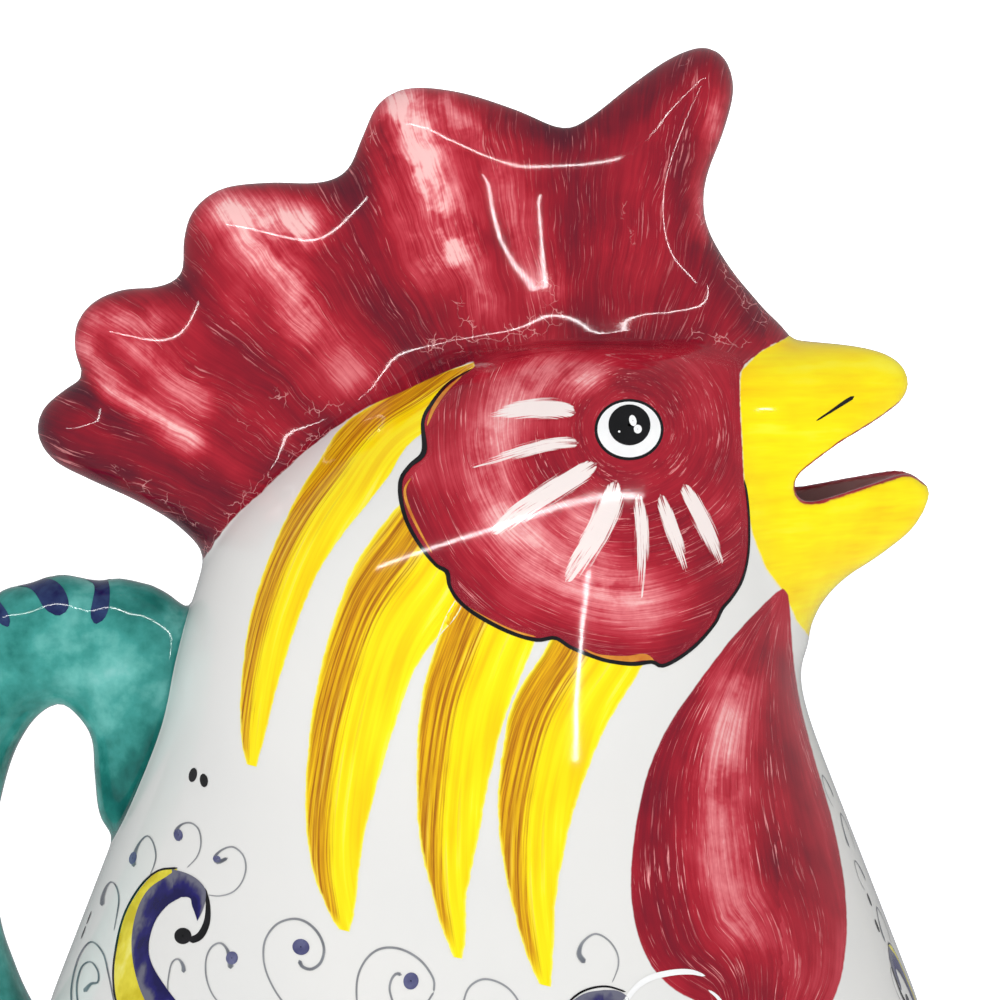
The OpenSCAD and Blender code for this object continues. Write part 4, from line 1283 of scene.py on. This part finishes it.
def scroll_at(at, flip, size):
    """One cobalt and yellow scroll with its black hook, ball and outline."""
    left, right, c_left, c_right, h_left, h_right = moved_lines(
        [[*SCROLL_OUTER, (116, 981), (128, 1008), (160, 1028), (190, 1034)],
         [*SCROLL_MIDDLE, (134, 964), (144, 992), (166, 1018), (190, 1033)],
         [*COBALT_OUTER, (134, 964), (144, 992), (166, 1018), (190, 1033)],
         [*COBALT_INNER, (164, 988), (184, 1012), (202, 1034)],
         HOOK_OUTER, HOOK_INNER], at, flip, size)
    scroll_yellow.append(between(left, right, onto=wrap, rows=40, columns=6))
    cobalt.append(between(c_left, c_right, onto=wrap, lift=0.07, rows=40, columns=8))
    cobalt.append(between(h_left, h_right, onto=wrap, lift=0.08, rows=16, columns=6))
    outline = [*SCROLL_LINE, (115, 981, 1), (127, 1010, 0.9), (160, 1030, 0.8), (190, 1036, 0.6)]
    for line in moved_lines([HOOK_LINE, outline], at, flip, size):
        black.append(ribbon(line, onto=wrap, lift=0.1, step=0.8))
    ball = moved_lines([[(183, 936)]], at, flip, size)[0][0]
    black.append(spot(ball, 8.6 * size, 8.4 * size, onto=wrap, sides=24))


def curls_at(lines, at, flip, size):
    """Grey tendrils moved to a place on the belly."""
    for line in moved_lines(lines, at, flip, size):
        tendrils.append(ribbon(line, onto=wrap, step=0.7))


# marks over half the belly; the other half is their mirror image
CURL = [(154, 945, 2.6), (154, 935, 2.3), (159, 922, 1.2), (167, 914, 0.9), (173, 920, 0.9), (176, 933, 0.8),
        (174, 944, 0.7), (170, 953, 0.5)]
SPIRAL = [(160, 938, 3.0), (166, 944, 2.0), (175, 944, 1.5), (182, 935, 1.4), (181, 922, 1.3), (171, 912, 1.3),
          (156, 911, 1.2), (143, 920, 1.1), (137, 936, 1.0), (141, 954, 1.0), (153, 968, 0.9), (170, 975, 0.6)]
SMALL_CURLS = [
    [(231, 1009, 3.2), (230, 1000, 2.8), (227, 989, 1.6), (220, 983, 1.1), (211, 988, 1), (206, 1001, 0.9),
     (207, 1018, 0.9), (217, 1030, 0.7)],
    [(240, 930, 3.4), (236, 921, 2.6), (241, 912, 1.4), (251, 909, 1.1), (261, 917, 1), (265, 934, 0.9),
     (258, 950, 0.8), (244, 962, 0.6)],
    [(96, 906, 2.8), (97, 896, 2.2), (91, 886, 1.2), (84, 882, 1), (77, 888, 1), (75, 900, 0.9), (77, 915, 0.8),
     (84, 930, 0.6)],
    [(100, 1010, 2.8), (92, 1006, 2), (86, 996, 1.2), (90, 986, 1), (100, 984, 1), (110, 992, 0.9), (114, 1008, 0.8),
     (108, 1024, 0.6)],
    [(150, 850, 2.6), (148, 840, 2.0), (154, 830, 1.1), (164, 829, 0.9), (172, 836, 0.9), (175, 848, 0.8),
     (170, 860, 0.5)],
    [(206, 862, 2.6), (200, 855, 2.0), (204, 846, 1.1), (214, 842, 0.9), (223, 850, 0.9), (226, 862, 0.8),
     (220, 874, 0.5)]]
REPEATS = 10   # scrolls round the whole belly
for k in range(-2, 3):
    at, flip, size = (k * 2 * math.pi * BELLY_R / REPEATS, 47.0), bool(k % 2), 0.30
    scroll_at(at, flip, size)
    curls_at(SMALL_CURLS, at, flip, size)
    curls_at([SPIRAL], (at[0] + (-1 if flip else 1) * 27, 34.0), not flip, 0.17)
WIDE_CURL = [(SCROLL_AT[0] + (x - SCROLL_AT[0]) * 2.0, y, 1.5 * width) for x, y, width in CURL]
for column, row, flip, size in ((832, 780, True, 0.15), (850, 824, False, 0.18), (869, 862, True, 0.14),
                                (886, 916, False, 0.18)):
    curls_at([WIDE_CURL], on_body(column, row), flip, size)
for column, row in ((80, 918), (87.5, 903.5), (861, 884), (867.5, 907.5)):
    black.append(spot(on_body(column, row), 0.8, 1.2, onto=wrap, sides=20))
curls_at([SPIRAL], on_body(886, 962), False, 0.12)
scroll_at((117, 79.5), True, 0.15)


def band(low, high):
    """Half a painted ring round the body between two heights, its edges swaying a little as the wheel turns."""
    turn = np.linspace(-math.pi / 2, math.pi / 2, 181)
    sway = 0.25 * np.sin(4 * turn + low) + 0.15 * np.cos(8 * turn)
    edges = (np.stack([turn * BELLY_R, height], 1) for height in (low + sway, high + 0.7 * sway))
    return grid_net(spread(*edges, 7), wrap, 0.06)


handle_line = curve_through(HANDLE, 0.5)
handle_runs = run_along(handle_line)


def ridge(places):
    """Points on the handle at (run along its middle line, turn away from the outer ridge in degrees)."""
    x, z, thick, wide = (np.interp(places[:, 0], handle_runs, handle_line[:, k]) for k in range(4))
    way = [np.interp(places[:, 0], handle_runs, np.gradient(handle_line[:, k], handle_runs)) for k in (0, 1)]
    turn = np.radians(places[:, 1])
    out = thick * np.cos(turn)
    points = np.stack([x - way[1] * out, wide * np.sin(turn), z + way[0] * out], 1)
    outward = np.stack([x + 62, 0 * x, z - 96], 1)
    wrong = ((points - np.stack([x, 0 * x, z], 1)) * outward).sum(1) < 0
    points[wrong] = 2 * np.stack([x, points[:, 1] / 2, z], 1)[wrong] - points[wrong] * [1, 0, 1]
    return settle(outer_form, points, 3)


def bar(run, slant, half, low, high):
    """A short thick stroke across the handle's ridge, its ends drawn towards the upper root on both sides."""
    turn = np.linspace(low, high, 37)
    ends = np.minimum(turn - low, high - turn) / 14
    w = half * np.sqrt(np.clip(1 - (1 - np.minimum(ends, 1)) ** 2, 0.03, 1))
    middle = run - slant * np.abs(np.sin(np.radians(turn)))
    grid = np.stack(np.broadcast_arrays(middle[:, None] + w[:, None] * np.linspace(-1, 1, 5), turn[:, None]), -1)
    return grid_net(grid, ridge, 0.08)


# bars of uneven length and slant, from the first seen one to 16 mm before the lower root
start = near_line(flat([FIRST_BAR]), handle_line[:, :2])[1][0]
bars = [bar(start + BAR_SPACE * k, 3.2 + 0.5 * math.sin(2.1 * k), 1.15 + 0.2 * math.sin(1.7 * k + 1),
            -64 - 5 * math.sin(3.1 * k), 64 + 5 * math.sin(2.3 * k))
        for k in range(int((handle_runs[-1] - 16 - start) / BAR_SPACE))]

cobalt += [band(23.2, 24.8), band(12.0, 13.4)]
scroll_yellow += [band(14.2, 22.4)]

lay_strokes("yellow_feathers", feathers, "feather_glaze", feather_colour, over_paint=True)
lay_strokes("dry_white_rays", rays, "dry_white_glaze", dry_white_colour, over_paint=True)
lay_strokes("ochre_traces", ochre, "ochre_glaze", flat_colour((196, 110, 40), (226, 160, 60)))
lay_strokes("blue_dots", blue_dots, "blue_dot_glaze", flat_colour((58, 58, 104), (104, 106, 140)))
lay_strokes("handle_bars", bars, "handle_bar_glaze", flat_colour((14, 20, 74), (42, 62, 104)),
            both_sides=False)
lay_strokes("grey_tendrils", tendrils, "tendril_glaze", tendril_colour)
lay_strokes("cobalt_strokes", cobalt, "cobalt_glaze", cobalt_colour)
lay_strokes("scroll_yellow", scroll_yellow, "scroll_yellow_glaze", scroll_yellow_colour)
lay_strokes("black_lines", black, "black_glaze", flat_colour((6, 6, 8), (24, 22, 26)))
lay_strokes("pupils", pupils, "pupil_glaze", flat_colour((6, 6, 8), (14, 13, 15)))
lay_strokes("eye_whites_and_glints", whites_and_eye_glints, "eye_white_and_glint_glaze", flat_colour((240, 240, 240), (246, 246, 245)))


# ---------------------------------------------------------------- stage, light and camera
def lamp(name, place, aim, wide, high, power, mirrored_in_glaze=True):
    """A flat lamp at a place in metres, turned to its aim."""
    data = bpy.data.lights.new(name, "AREA")
    data.shape, data.size, data.size_y, data.energy = "RECTANGLE", wide, high, power
    obj = bpy.data.objects.new(name, data)
    bpy.context.scene.collection.objects.link(obj)
    obj.location = place
    obj.rotation_euler = (Vector(aim) - Vector(place)).to_track_quat("-Z", "Y").to_euler()
    obj.visible_glossy = mirrored_in_glaze


lamp("window_left", (-1.1, -1.5, 0.9), (0, 0, 0.16), 0.9, 1.0, 5.8, False)
lamp("overhead", (0, -0.1, 1.5), (0, 0, 0.1), 1.6, 1.6, 5.4, False)
lamp("strip_top", (0, -0.85, 1.05), (0, 0, 0.2), 2.2, 0.020, 5.6)
lamp("strip_side", (0.62, -1.0, 0.325), (0, 0, 0.325), 0.016, 0.59, 1.5)

world = bpy.data.worlds.new("pale_room")
bpy.context.scene.world = world
world.use_nodes = True
world.node_tree.nodes["Background"].inputs["Color"].default_value = (0.95, 0.97, 1, 1)
world.node_tree.nodes["Background"].inputs["Strength"].default_value = 0.33


def stage_piece(name, glaze_name, glow, corners):
    """A flat matt sheet of the studio with a little glow of its own, which isn't part of the jug."""
    glaze = Glaze(glaze_name, 0.9)
    glaze.set("Base Color", (0.9, 0.9, 0.9, 1))
    glaze.set("Emission Color", (1, 1, 1, 1))
    glaze.set("Emission Strength", glow)
    glaze.set("Specular IOR Level", 0.0)
    mesh = bpy.data.meshes.new(name)
    mesh.from_pydata(corners, [], [(0, 1, 2, 3)])
    piece = bpy.data.objects.new(name, mesh)
    bpy.context.scene.collection.objects.link(piece)
    mesh.materials.append(glaze.material)
    piece.visible_glossy = False


stage_piece("floor", "stage_white", 0.66, [(-30, -30, 0), (30, -30, 0), (30, 30, 0), (-30, 30, 0)])
stage_piece("backdrop", "card_white", 0.9, [(-0.75, 2.2, 0), (0.75, 2.2, 0), (0.75, 2.2, 1.1), (-0.75, 2.2, 1.1)])

bpy.context.scene.view_settings.view_transform = "Standard"

SENSOR = 36   # millimetres
camera_data = bpy.data.cameras.new("camera")
camera_data.sensor_width, camera_data.lens = SENSOR, FOCAL * SENSOR / (2 * MIDDLE)
camera = bpy.data.objects.new("camera", camera_data)
camera.location = CAMERA / 1000
camera.rotation_euler = (math.pi / 2 - TILT, 0, 0)
bpy.context.scene.collection.objects.link(camera)
bpy.context.scene.camera = camera
